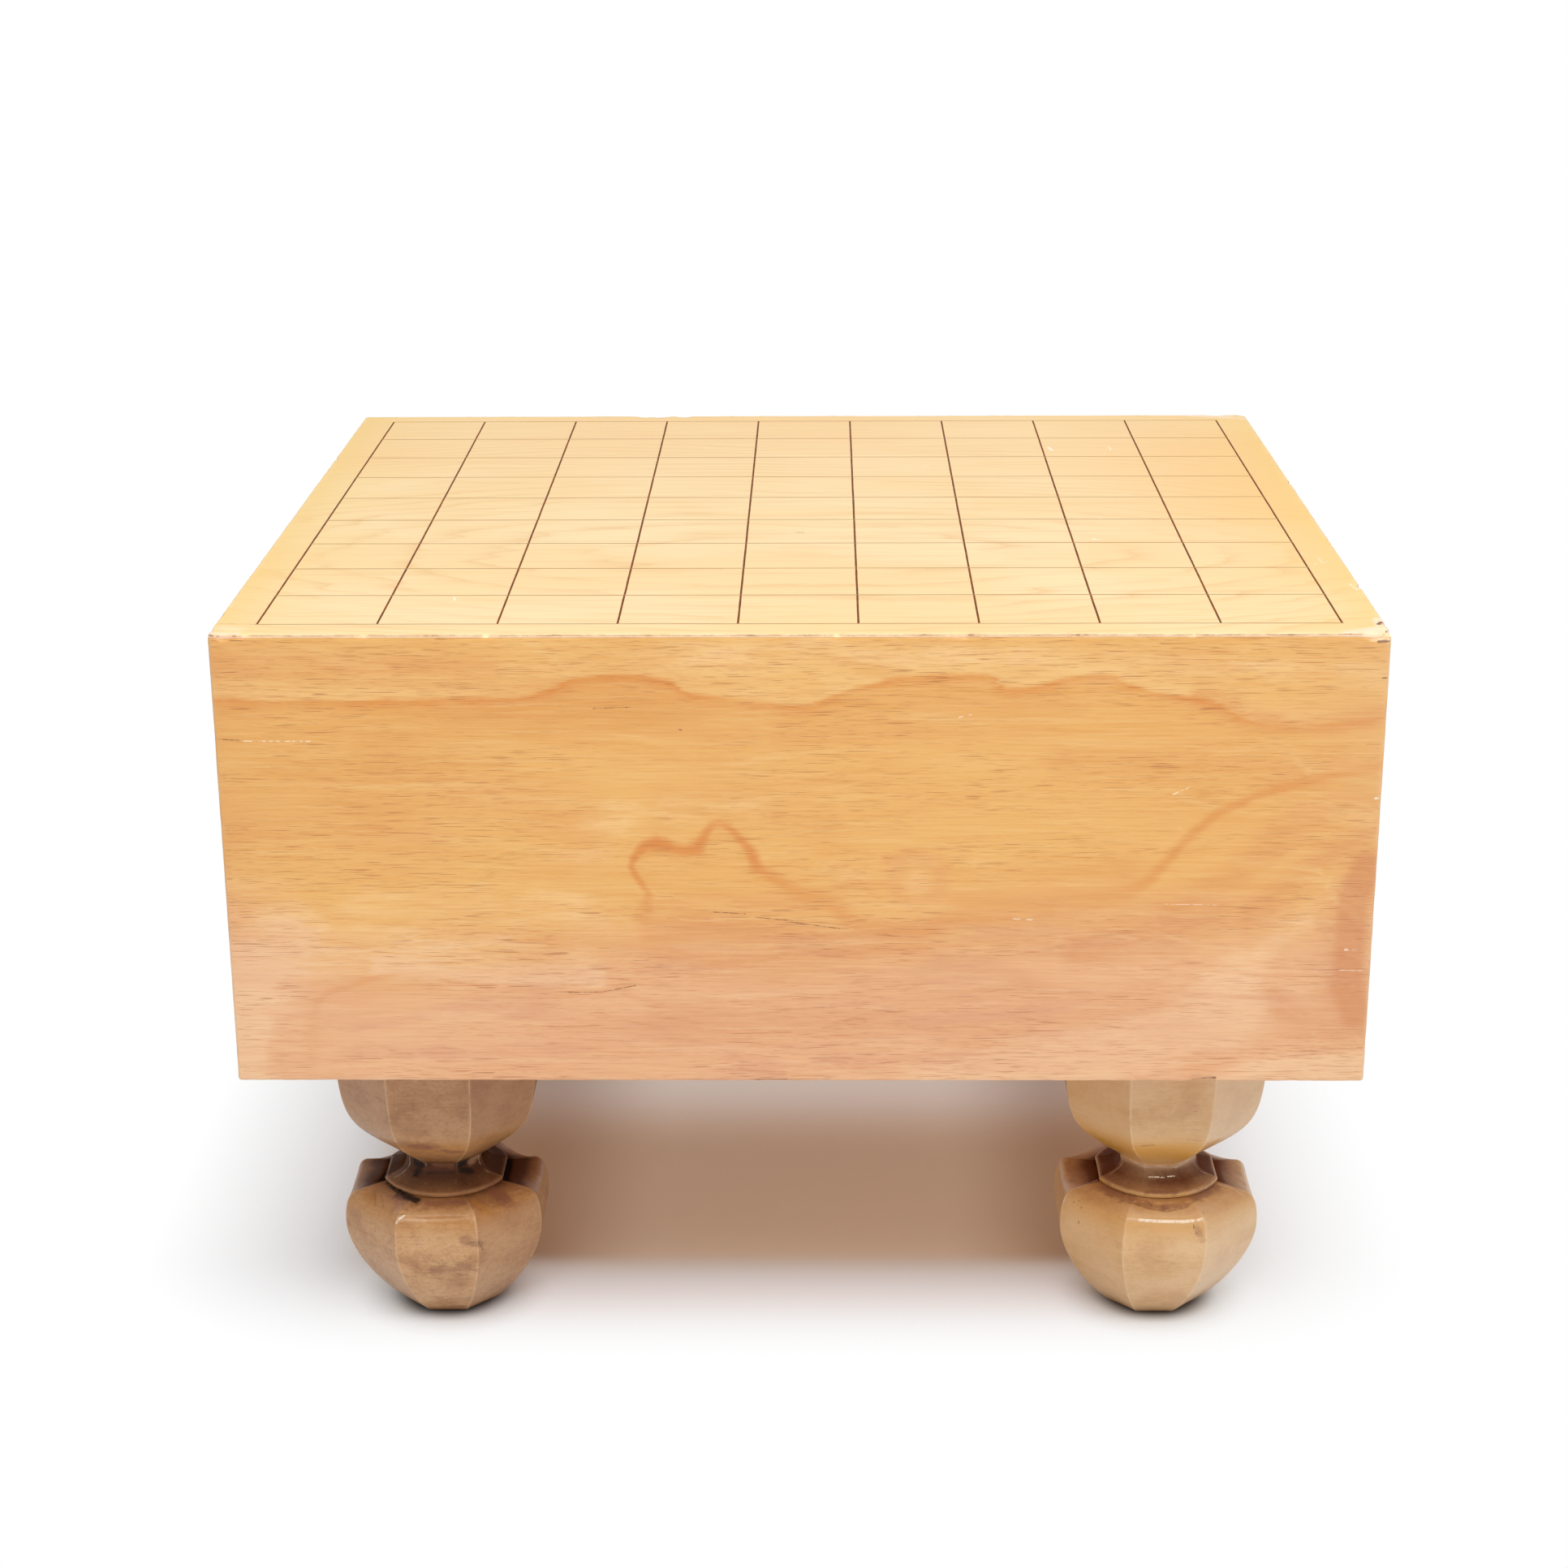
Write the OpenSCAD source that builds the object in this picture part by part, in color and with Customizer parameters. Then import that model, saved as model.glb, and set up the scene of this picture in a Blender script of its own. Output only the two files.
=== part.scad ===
// Footed shogi board: a thick wooden block under a thin pale sheet, a lacquered grid of nine by nine
// squares, and four octagonal legs carved like gardenia fruits, each with a square tenon in the block.
// The floor is z = 0, the long side runs along X and the grid faces up.

/* [Block] */
// Length of the block along X (12 sun)
board_w = 364; // [350:1:400]
// Depth of the block along Y (11 sun)
board_d = 333; // [320:1:370]
// Thickness of the block together with the sheet on it (5 sun)
board_t = 150; // [90:1:280]
// Radius of the block's upright edges
edge_r = 1.3; // [0.5:0.1:4]
// Bevel along the lower edges
base_bevel = 0.8; // [0.3:0.1:3]

/* [Top sheet] */
// Thickness of the pale sheet glued over the block
sheet_t = 1; // [0.6:0.1:6]
// Bevel along the upper edges of the sheet
sheet_bevel = 0.4; // [0.1:0.1:0.5]

/* [Grid] */
// Squares along each side
cells = 9; // [3:1:9]
// Pitch of the lines along X
cell_w = 37.5; // [30:0.1:38.5]
// Pitch of the lines along Y
cell_d = 34.3; // [28:0.1:35]
// Width of a lacquer line
line_w = 1; // [0.5:0.1:2]
// Height of a lacquer line above the sheet
line_h = 0.2; // [0.1:0.05:0.4]

/* [Leg places] */
// Distance from the block's end to a leg's axis
leg_inset_x = 58.5; // [50:0.5:90]
// Distance from the block's long side to a leg's axis
leg_inset_y = 58.5; // [50:0.5:90]

/* [Leg heights] */
// Floor to the widest place of the fruit
bulb_h = 34.5; // [25:0.5:45]
// Widest place of the fruit up to the outer edge of its shoulder
shoulder_h = 11.4; // [8:0.1:16]
// Rise of the shoulder from its outer edge in to the rim
shoulder_rise = 1.7; // [0.5:0.1:5]
// Upright edge of the collar's rim
rim_t = 1.5; // [1:0.1:4]
// Hollowed collar, from the rim's edge up to the neck
cove_h = 5.9; // [4:0.1:12]
// Straight neck
neck_h = 1.3; // [0.5:0.1:6]
// Cup, from the neck up to the block
cup_h = 51.7; // [40:0.1:70]

/* [Leg widths, half across the flats] */
// Flat of the foot
foot_r = 14.5; // [10:0.5:20]
// Fruit at its widest
bulb_r = 33.9; // [31:0.1:38]
// Where the shoulder's flat turns over into the side
shoulder_r = 30.2; // [24:0.1:31]
// Root of the shoulder under the rim
root_r = 18.8; // [16:0.1:20]
// Collar's rim
rim_r = 20.4; // [20.1:0.1:23]
// Neck
neck_r = 13; // [9:0.1:15]
// Cup where it meets the block
cup_r = 34.5; // [31:0.1:42]

/* [Leg curves] */
// Height at which the fruit's side leaves the upright on its way to the foot
bulb_pull_h = 24.3; // [15:0.1:32]
// Half width of the point that draws the foot's curve
foot_pull_r = 24.6; // [18:0.1:30]
// Height of the point that draws the foot's curve
foot_pull_h = 8.6; // [4:0.1:14]
// Half width of the point that draws the shoulder's edge
edge_pull_r = 32.9; // [31:0.1:34]
// Half width of the point that draws the cup's belly
cup_pull_r = 33.4; // [30:0.1:36]
// Height of that point above the neck
cup_pull_h = 15.9; // [10:0.1:25]
// Half width of the point that draws the collar's hollow near the rim
cove_pull_r = 16.4; // [15:0.1:18]

/* [Joints of the legs] */
// Side of the square tenon on a leg
tenon_w = 26; // [18:0.5:34]
// Length of the tenon
tenon_h = 24; // [15:0.5:40]
// Bevel round the tenon's end
tenon_bevel = 1.5; // [0.5:0.1:3]
// Clearance beside the tenon in its mortise
tenon_gap = 0.1; // [0.05:0.01:0.15]
// Space left above the tenon's end
tenon_end_gap = 1; // [0.5:0.1:4]

/* [Hollow in the underside] */
// Side of the square hollow
navel_w = 70; // [50:1:90]
// Depth of the channel round the island
navel_d = 18; // [12:1:28]
// Width of that channel at its bottom
navel_channel = 7; // [4:0.5:10]
// Side of the island's flat
island_w = 28; // [16:1:36]
// Depth of the island's flat below the underside
island_d = 6; // [4.5:0.5:10]

/* [Hidden] */

// Steps of each long curve of a leg, and of each short one
long_steps = 10;
short_steps = 6;
// How far a cutting solid runs past the face it cuts
past = 1;
// Bevel on an end of a prism that lies outside the finished piece
spare_bevel = past / 2;
round_fn = 48;
// Shares of a stretch's height at which the points that draw its curve stand
side_pull = 0.6;
edge_pull = 0.9;
rim_pull = 0.15;
neck_pull = 0.35;

// Heights on a leg, from the floor up
shoulder_z = bulb_h + shoulder_h;
root_z = shoulder_z + shoulder_rise;
rim_z = root_z + rim_t;
neck_z = rim_z + cove_h;
cup_z = neck_z + neck_h;
leg_h = cup_z + cup_h;

// Heights of the board's layers
block_top = leg_h + board_t - sheet_t;
play_z = leg_h + board_t;

leg_x = board_w / 2 - leg_inset_x;
leg_y = board_d / 2 - leg_inset_y;

block_wood = [0.87, 0.66, 0.44];
sheet_wood = [0.95, 0.82, 0.58];
leg_wood = [0.80, 0.60, 0.40];
lacquer = [0.27, 0.17, 0.10];

// Points of a cubic curve that starts at a, ends at d and is drawn towards b and c; a itself is left out
function curve(a, b, c, d, steps) = [
    for (i = [1:steps])
        let (t = i / steps, s = 1 - t)
        s * s * s * a + 3 * s * s * t * b + 3 * s * t * t * c + t * t * t * d
];

// Half outline of a leg as [half width, height], from the foot up to the block
leg_side = concat(
    [[foot_r, 0]],
    curve([foot_r, 0], [foot_pull_r, foot_pull_h], [bulb_r, bulb_pull_h], [bulb_r, bulb_h], long_steps),
    curve([bulb_r, bulb_h], [bulb_r, bulb_h + side_pull * shoulder_h],
        [edge_pull_r, bulb_h + edge_pull * shoulder_h], [shoulder_r, shoulder_z], short_steps),
    [[root_r, root_z], [rim_r, root_z], [rim_r, rim_z]],
    curve([rim_r, rim_z], [cove_pull_r, rim_z + rim_pull * cove_h], [neck_r, rim_z + neck_pull * cove_h],
        [neck_r, neck_z], short_steps),
    [[neck_r, cup_z]],
    curve([neck_r, cup_z], [cup_pull_r, cup_z + cup_pull_h], [cup_pull_r, cup_z + cup_pull_h],
        [cup_r, leg_h], long_steps)
);
leg_outline = concat(leg_side, [for (i = [len(leg_side) - 1:-1:0]) [-leg_side[i][0], leg_side[i][1]]]);
leg_span = 2 * max(cup_r, bulb_r) + 2 * past;

// Rectangle with true round corners
module round_rect(w, d, r) {
    square([w - 2 * r, d], center = true);
    square([w, d - 2 * r], center = true);
    for (x = [-1, 1], y = [-1, 1])
        translate([x * (w / 2 - r), y * (d / 2 - r)])
            circle(r, $fn = round_fn);
}

// Upright prism between two heights whose cross-section along X or Y is a rectangle with bevelled
// corners; low is the bevel at the bottom and high the bevel at the top
module bevelled_prism(w, d, z0, z1, low, high) {
    intersection() {
        bevelled_bar(w, d, z0, z1, low, high);
        rotate(90)
            bevelled_bar(d, w, z0, z1, low, high);
    }
}

module bevelled_bar(w, d, z0, z1, low, high) {
    half = w / 2;
    rotate([90, 0, 0])
        linear_extrude(height = d, center = true)
            polygon([
                [-half + low, z0], [half - low, z0], [half, z0 + low], [half, z1 - high],
                [half - high, z1], [-half + high, z1], [-half, z1 - high], [-half, z0 + low]
            ]);
}

// Square mortise for one leg's tenon
module mortise() {
    w = tenon_w + 2 * tenon_gap;
    translate([-w / 2, -w / 2, leg_h - past])
        cube([w, w, past + tenon_h + tenon_end_gap]);
}

// Four-sided mound with a flat on it, base upward, left standing inside the hollow
module island() {
    base = navel_w / 2 - navel_channel;
    for_two_ways()
        polygon([
            [-island_w / 2, leg_h + island_d], [island_w / 2, leg_h + island_d],
            [base, leg_h + navel_d], [base, leg_h + navel_d + past],
            [-base, leg_h + navel_d + past], [-base, leg_h + navel_d]
        ]);
}

// Outline extruded along X and along Y, and what the two have in common
module for_two_ways() {
    intersection() {
        rotate([90, 0, 0])
            linear_extrude(height = navel_w, center = true)
                children();
        rotate([90, 0, 90])
            linear_extrude(height = navel_w, center = true)
                children();
    }
}

// Square hollow cut in the middle of the underside, round the island
module navel() {
    difference() {
        translate([-navel_w / 2, -navel_w / 2, leg_h - past])
            cube([navel_w, navel_w, past + navel_d]);
        island();
    }
}

// Thick block that the legs plug into
module block() {
    color(block_wood)
        difference() {
            intersection() {
                translate([0, 0, leg_h])
                    linear_extrude(height = block_top - leg_h)
                        round_rect(board_w, board_d, edge_r);
                bevelled_prism(board_w, board_d, leg_h, block_top + past, base_bevel, spare_bevel);
            }
            navel();
            for (x = [-leg_x, leg_x], y = [-leg_y, leg_y])
                translate([x, y, 0])
                    mortise();
        }
}

// Thin pale sheet glued over the block
module top_sheet() {
    color(sheet_wood)
        intersection() {
            translate([0, 0, block_top])
                linear_extrude(height = sheet_t)
                    round_rect(board_w, board_d, edge_r);
            bevelled_prism(board_w, board_d, block_top - past, play_z, spare_bevel, sheet_bevel);
        }
}

// Lacquer lines that run the whole length along X
module lines_across() {
    color(lacquer)
        for (j = [0:cells])
            translate([-(cells * cell_w + line_w) / 2, (j - cells / 2) * cell_d - line_w / 2, play_z])
                cube([cells * cell_w + line_w, line_w, line_h]);
}

// Lacquer lines along Y, one short stroke between each two lines that they cross
module lines_along() {
    color(lacquer)
        for (i = [0:cells], j = [0:cells - 1])
            translate([(i - cells / 2) * cell_w - line_w / 2, (j - cells / 2) * cell_d + line_w / 2, play_z])
                cube([line_w, cell_d - line_w, line_h]);
}

// One carved leg on its own axis: eight equal faces that follow the same curve, and the tenon on top
module leg() {
    color(leg_wood) {
        intersection_for(turn = [0:45:135])
            rotate([90, 0, turn])
                linear_extrude(height = leg_span, center = true)
                    polygon(leg_outline);
        bevelled_prism(tenon_w, tenon_w, leg_h - past, leg_h + tenon_h, spare_bevel, tenon_bevel);
    }
}

module leg_front_left() {
    translate([-leg_x, -leg_y, 0])
        leg();
}

module leg_front_right() {
    translate([leg_x, -leg_y, 0])
        leg();
}

module leg_back_left() {
    translate([-leg_x, leg_y, 0])
        leg();
}

module leg_back_right() {
    translate([leg_x, leg_y, 0])
        leg();
}

block();
top_sheet();
lines_across();
lines_along();
leg_front_left();
leg_front_right();
leg_back_left();
leg_back_right();
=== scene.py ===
import math
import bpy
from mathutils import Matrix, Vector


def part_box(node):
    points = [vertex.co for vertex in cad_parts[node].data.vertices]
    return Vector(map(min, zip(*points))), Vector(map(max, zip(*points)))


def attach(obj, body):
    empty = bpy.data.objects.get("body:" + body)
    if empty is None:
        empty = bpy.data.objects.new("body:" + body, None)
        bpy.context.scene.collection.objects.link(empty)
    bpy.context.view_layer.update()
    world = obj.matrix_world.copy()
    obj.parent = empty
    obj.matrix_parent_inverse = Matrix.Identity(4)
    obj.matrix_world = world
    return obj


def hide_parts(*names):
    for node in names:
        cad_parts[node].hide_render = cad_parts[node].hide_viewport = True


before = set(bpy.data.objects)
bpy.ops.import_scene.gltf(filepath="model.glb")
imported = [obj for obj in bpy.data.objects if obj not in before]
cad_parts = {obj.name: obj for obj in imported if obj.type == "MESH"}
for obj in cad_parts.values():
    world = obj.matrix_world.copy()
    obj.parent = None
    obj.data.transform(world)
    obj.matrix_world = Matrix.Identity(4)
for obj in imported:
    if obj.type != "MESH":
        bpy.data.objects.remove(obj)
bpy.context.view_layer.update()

from types import SimpleNamespace

import bmesh
import bpy
import numpy as np
from mathutils import Vector, geometry, noise

# Everything below is drawn in millimetres and scaled to metres when a mesh is made.
MM = 0.001


def solid_box(node):
    """Lowest and highest corner of one of the frame's solids, in millimetres."""
    return [[round(c / MM, 2) for c in corner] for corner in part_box(node)]


# Sizes and places from the frame. The solid lines are 1 mm wide.
(_, _, LEG_H), (HALF_W, HALF_D, BLOCK_TOP) = solid_box("block")
PLAY_Z = solid_box("top_sheet")[1][2]
LEG_LOW, LEG_HIGH = solid_box("leg_back_right")
LEG_X, LEG_Y = [(low + high) / 2 for low, high in zip(LEG_LOW[:2], LEG_HIGH[:2])]
CELLS, SOLID_LINE_W = 9, 1.0
CELL_W, CELL_D = [(2 * reach - SOLID_LINE_W) / CELLS for reach in solid_box("lines_across")[1][:2]]
# Sizes that the boxes of the solids don't show. The lacquer is drawn as thin as in the photo.
ACROSS_W, ACROSS_H, ALONG_W, ALONG_H, ALONG_GAP, LINE_STEP = 0.42, 0.05, 0.74, 0.08, 0.45, 1.6
TENON_W, TENON_H, TENON_BEVEL = 26.0, LEG_HIGH[2] - LEG_H, 1.5
MORTISE_W, MORTISE_H = 26.2, 25.0
CORNER_R, CORNER_STEPS = 1.3, 6
NAVEL_W, NAVEL_D, ISLAND_BASE, ISLAND_W, ISLAND_D = 70.0, 18.0, 56.0, 28.0, 6.0


def colour(red, green, blue):
    """Display colour, 0 to 255, as the linear colour that a shader takes."""
    shares = [c / 255 for c in (red, green, blue)]
    return (*[c / 12.92 if c <= 0.04045 else ((c + 0.055) / 1.055) ** 2.4 for c in shares], 1.0)


def either_side(operation):
    """Two methods: the operation with the value on its left side, and with the value on its right side."""
    return (lambda value, other: value.shader.math(operation, value, other),
            lambda value, other: value.shader.math(operation, other, value))


class Value:
    """A number, vector or colour inside a material. Arithmetic with it adds the nodes that work it out."""

    __add__, __radd__ = either_side("ADD")
    __sub__, __rsub__ = either_side("SUBTRACT")
    __mul__, __rmul__ = either_side("MULTIPLY")
    __truediv__, __rtruediv__ = either_side("DIVIDE")

    def __init__(self, shader, socket):
        self.shader, self.socket = shader, socket

    def __abs__(self):
        return self.shader.math("ABSOLUTE", self)


class Shader:
    """A node material built line by line. Positions are object coordinates in millimetres."""

    def __init__(self, name):
        self.material = bpy.data.materials.new(name)
        self.material.use_nodes = True
        self.tree = self.material.node_tree
        self.tree.nodes.clear()
        self.base = None
        self.output = self.node("ShaderNodeOutputMaterial")
        self.surface = self.node("ShaderNodeBsdfPrincipled")
        self.link(self.surface.outputs["BSDF"], self.output.inputs["Surface"])
        place = self.node("ShaderNodeTexCoord")
        self.facing = self.split(place.outputs["Normal"])
        self.at = self.vector("SCALE", place.outputs["Object"], scale=1 / MM)
        self.x, self.y, self.z = self.split(self.at)

    def node(self, kind, **settings):
        made = self.tree.nodes.new(kind)
        for key, value in settings.items():
            setattr(made, key, value)
        return made

    def link(self, source, target):
        """Feeds a socket with a Value, with another socket or with plain numbers."""
        if isinstance(source, Value):
            source = source.socket
        if isinstance(source, bpy.types.NodeSocket):
            self.tree.links.new(source, target)
        else:
            target.default_value = source

    def result(self, made, values, output=0):
        """Feeds a node's first sockets with the values and returns one of its outputs."""
        for value, socket in zip(values, made.inputs):
            self.link(value, socket)
        return Value(self, made.outputs[output])

    def mark(self, attribute):
        """A number that the mesh carries at its points."""
        return self.result(self.node("ShaderNodeAttribute", attribute_name=attribute), (), "Fac")

    def math(self, operation, *values, clamp=False):
        return self.result(self.node("ShaderNodeMath", operation=operation, use_clamp=clamp), values)

    def most(self, out, *others):
        for other in others:
            out = self.math("MAXIMUM", out, other)
        return out

    def least(self, a, b):
        return self.math("MINIMUM", a, b)

    def fade(self, distance, length):
        """1 at distance 0, falling off over length; below 0 it stays 0."""
        return self.math("EXPONENT", distance * (-1 / length)) * self.math("GREATER_THAN", distance, -1e-4)

    def vector(self, operation, *values, scale=None):
        made = self.node("ShaderNodeVectorMath", operation=operation)
        if scale is not None:
            self.link(scale, made.inputs["Scale"])
        single = operation in ("LENGTH", "DOT_PRODUCT", "DISTANCE")
        return self.result(made, values, "Value" if single else "Vector")

    def split(self, vector):
        made = self.node("ShaderNodeSeparateXYZ")
        return [self.result(made, (vector,), axis) for axis in range(3)]

    def join(self, x, y, z):
        return self.result(self.node("ShaderNodeCombineXYZ"), (x, y, z))

    def noise(self, size, at=None, detail=2.0, rough=0.5, shift=(0, 0, 0), output="Fac"):
        """Noise whose blobs measure about size (x, y, z) in millimetres."""
        scaled = self.vector("DIVIDE", self.at if at is None else at, size)
        made = self.node("ShaderNodeTexNoise")
        made.inputs["Scale"].default_value = 1.0
        made.inputs["Detail"].default_value = detail
        made.inputs["Roughness"].default_value = rough
        return self.result(made, (self.vector("ADD", scaled, shift),), output)

    def sway(self, size, **settings):
        """Three noises around 0, which differ from each other."""
        noises = self.noise(size, output="Color", **settings)
        return self.split(self.vector("SUBTRACT", noises, (0.5, 0.5, 0.5)))

    def spread(self, value, low, high, out_low=0.0, out_high=1.0, smooth=True):
        """From out_low to out_high while value goes from low to high, and level beyond."""
        kind = "SMOOTHSTEP" if smooth else "LINEAR"
        made = self.node("ShaderNodeMapRange", interpolation_type=kind, clamp=True)
        return self.result(made, (value, low, high, out_low, out_high))

    def mix(self, factor, a, b):
        """Between two tones: Values, display colours of three numbers or linear colours of four."""
        made = self.node("ShaderNodeMix", data_type="RGBA")
        tones = [colour(*tone) if isinstance(tone, tuple) and len(tone) == 3 else tone for tone in (a, b)]
        for value, socket in zip((factor, *tones), (made.inputs["Factor"], made.inputs[6], made.inputs[7])):
            self.link(value, socket)
        return Value(self, made.outputs[2])

    def paint(self, factor, tone):
        """Lays a tone over the base colour, as strongly as factor says."""
        self.base = self.mix(factor, self.base, tone)

    def tint(self, value, low, high, strength, tone):
        """Lays a tone over the base colour where value goes from low to high, up to the strength."""
        self.paint(self.spread(value, low, high, 0, strength), tone)

    def curve(self, value, points):
        """Smooth curve through (value, result) pairs, both in millimetres."""
        xs, ys = [p[0] for p in points], [p[1] for p in points]
        x0, x1, y0, y1 = min(xs), max(xs), min(ys), max(ys)
        made = self.node("ShaderNodeFloatCurve")
        line = made.mapping.curves[0]
        share = [((x - x0) / (x1 - x0), (y - y0) / (y1 - y0)) for x, y in points]
        line.points[0].location, line.points[1].location = share[0], share[-1]
        for point in share[1:-1]:
            line.points.new(*point)
        made.mapping.update()
        self.link(self.math("DIVIDE", value - x0, x1 - x0, clamp=True), made.inputs["Value"])
        return Value(self, made.outputs[0]) * (y1 - y0) + y0

    def stroke(self, start, end, width, core=0.35):
        """1 along a straight stroke between two places, fading to 0 from core to the full width."""
        along = Vector(end) - Vector(start)
        from_start = self.vector("SUBTRACT", self.at, tuple(start))
        covered = self.vector("DOT_PRODUCT", from_start, tuple(along))
        share = self.math("DIVIDE", covered, along.length_squared, clamp=True)
        nearest = self.vector("SCALE", tuple(along), scale=share)
        return self.spread(self.vector("DISTANCE", from_start, nearest), width, width * core)

    def strokes(self, rows):
        """The strongest of several strokes, each (start, end, width)."""
        return self.most(*[self.stroke(*row) for row in rows])

    def scratches(self, place, rows):
        """Strokes on a flat face, each (a, b, a, b, width); place turns a and b into a place on the face."""
        return self.strokes([(place(*row[:2]), place(*row[2:4]), row[4]) for row in rows])

    def bump(self, height, distance, strength=1.0):
        made = self.node("ShaderNodeBump")
        made.inputs["Strength"].default_value = strength
        made.inputs["Distance"].default_value = distance * MM
        self.link(height, made.inputs["Height"])
        self.link(made.outputs[0], self.surface.inputs["Normal"])

    def finish(self, rough, coat=0.0, coat_rough=0.1, specular=0.5):
        settings = {"Base Color": self.base, "Roughness": rough, "Coat Weight": coat,
                    "Coat Roughness": coat_rough, "Specular IOR Level": specular}
        for name, value in settings.items():
            self.link(value, self.surface.inputs[name])
        return self.material


def on_front(x, z):
    """Place on the front face of the block."""
    return (x, -HALF_D, z)


def on_sheet(x, y):
    """Place on the playing face."""
    return (x, y, PLAY_Z)


# Materials

# Growth lines of the block on its front face, as (x, z) along each line, from the upper one down.
LINE_A = [
    (-184, 237), (-150, 236.3), (-129, 236.5), (-90, 237), (-75, 240.5), (-59.6, 244.3), (-45, 243.5),
    (-35, 239.5), (-28, 237.5), (-10, 236), (1.2, 234.5), (8, 236.5), (20, 241), (54.8, 244.7),
    (60, 243.5), (65.6, 240), (78, 242), (92.9, 244.2), (102, 241.5), (112, 238.5), (125, 236.5),
    (140, 230), (150, 228), (162.6, 228.4), (184, 234),
]
LINE_B = [
    (-184, 100), (-157, 108), (-153, 128), (-150, 138), (-144, 142.8), (-131.5, 147.3), (-119, 145.3),
    (-89, 141.5), (-60, 145), (-50, 165), (-40, 180), (-24, 190), (-10, 181), (6, 171), (28.5, 161.5),
    (53.5, 166.5), (91, 171.5), (108.5, 176), (121, 191.5), (131, 200.3), (143.5, 206.5), (161, 211.5),
    (184, 216),
]
# The middle line again, followed in the photo because it turns back: (x, z, how dark, half width).
FIGURE = [
    (-170, 60, 0.0, 4.0), (-160, 104, 0.0, 4.0), (-158, 118, 0.12, 4.0), (-157.1, 128.5, 0.25, 3.2),
    (-155.7, 135.1, 0.25, 2.2), (-151, 139.8, 0.35, 1.8), (-143.3, 141.9, 0.35, 1.6),
    (-134.5, 144.9, 0.40, 1.5), (-127.9, 146.3, 0.50, 1.5), (-119.3, 144.9, 0.45, 1.5),
    (-108.6, 142.6, 0.35, 1.6), (-95.6, 141.4, 0.30, 1.6), (-84.8, 139.8, 0.30, 1.6),
    (-74, 138.9, 0.35, 1.6), (-63.1, 139.8, 0.35, 1.8), (-55.5, 142.6, 0.25, 3.0),
    (-49.0, 146.5, 0.15, 4.5), (-48.0, 152, 0.20, 5.0), (-49.3, 158.1, 0.30, 5.0),
    (-50.2, 163, 0.35, 4.6), (-49.9, 166.7, 0.40, 4.0), (-48.8, 169.7, 0.45, 3.0),
    (-47.9, 173, 0.65, 2.0), (-49.5, 175.7, 0.85, 1.6), (-51.6, 178, 0.90, 1.5),
    (-53.4, 181.2, 0.95, 1.5), (-53.0, 184, 0.95, 1.6), (-51.3, 186.6, 1.0, 2.2),
    (-48.6, 189.6, 1.1, 3.0), (-45, 190.6, 1.2, 3.8), (-41.9, 190.0, 1.1, 3.4), (-39.3, 188.6, 1.0, 2.6),
    (-36, 187.9, 0.95, 2.6), (-32.3, 189, 1.1, 3.4), (-30.4, 191.4, 1.0, 2.8), (-29.4, 194.2, 0.85, 1.9),
    (-27.7, 196.2, 0.80, 1.7), (-24.7, 197, 0.70, 1.7), (-21.5, 195.4, 0.80, 1.8),
    (-18.6, 192, 0.90, 2.0), (-16, 189.1, 1.0, 2.3), (-13.8, 185.9, 1.1, 2.8), (-13.2, 182.5, 1.0, 2.8),
    (-10.2, 180, 0.75, 2.6), (-5.8, 177.4, 0.55, 3.0), (-1.3, 174.6, 0.50, 3.4), (5.2, 172.2, 0.45, 3.8),
    (10.5, 170.2, 0.40, 4.0), (13.7, 166.7, 0.45, 4.0), (20.2, 162.2, 0.50, 3.5),
    (29.2, 161.0, 0.50, 3.5), (39.2, 160.6, 0.50, 3.5), (44.2, 164.1, 0.40, 4.5),
    (51.2, 166.3, 0.40, 5.0), (71.1, 169.4, 0.35, 5.0), (92, 171.3, 0.35, 5.0), (103, 173.5, 0.40, 4.0),
    (110, 178, 0.55, 3.0), (115.5, 184, 0.60, 2.6), (121, 191.5, 0.60, 2.4), (131, 200.3, 0.65, 2.3),
    (143.5, 206.5, 0.65, 2.3), (161, 211.5, 0.60, 2.4), (200, 219, 0.55, 2.4),
]
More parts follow.
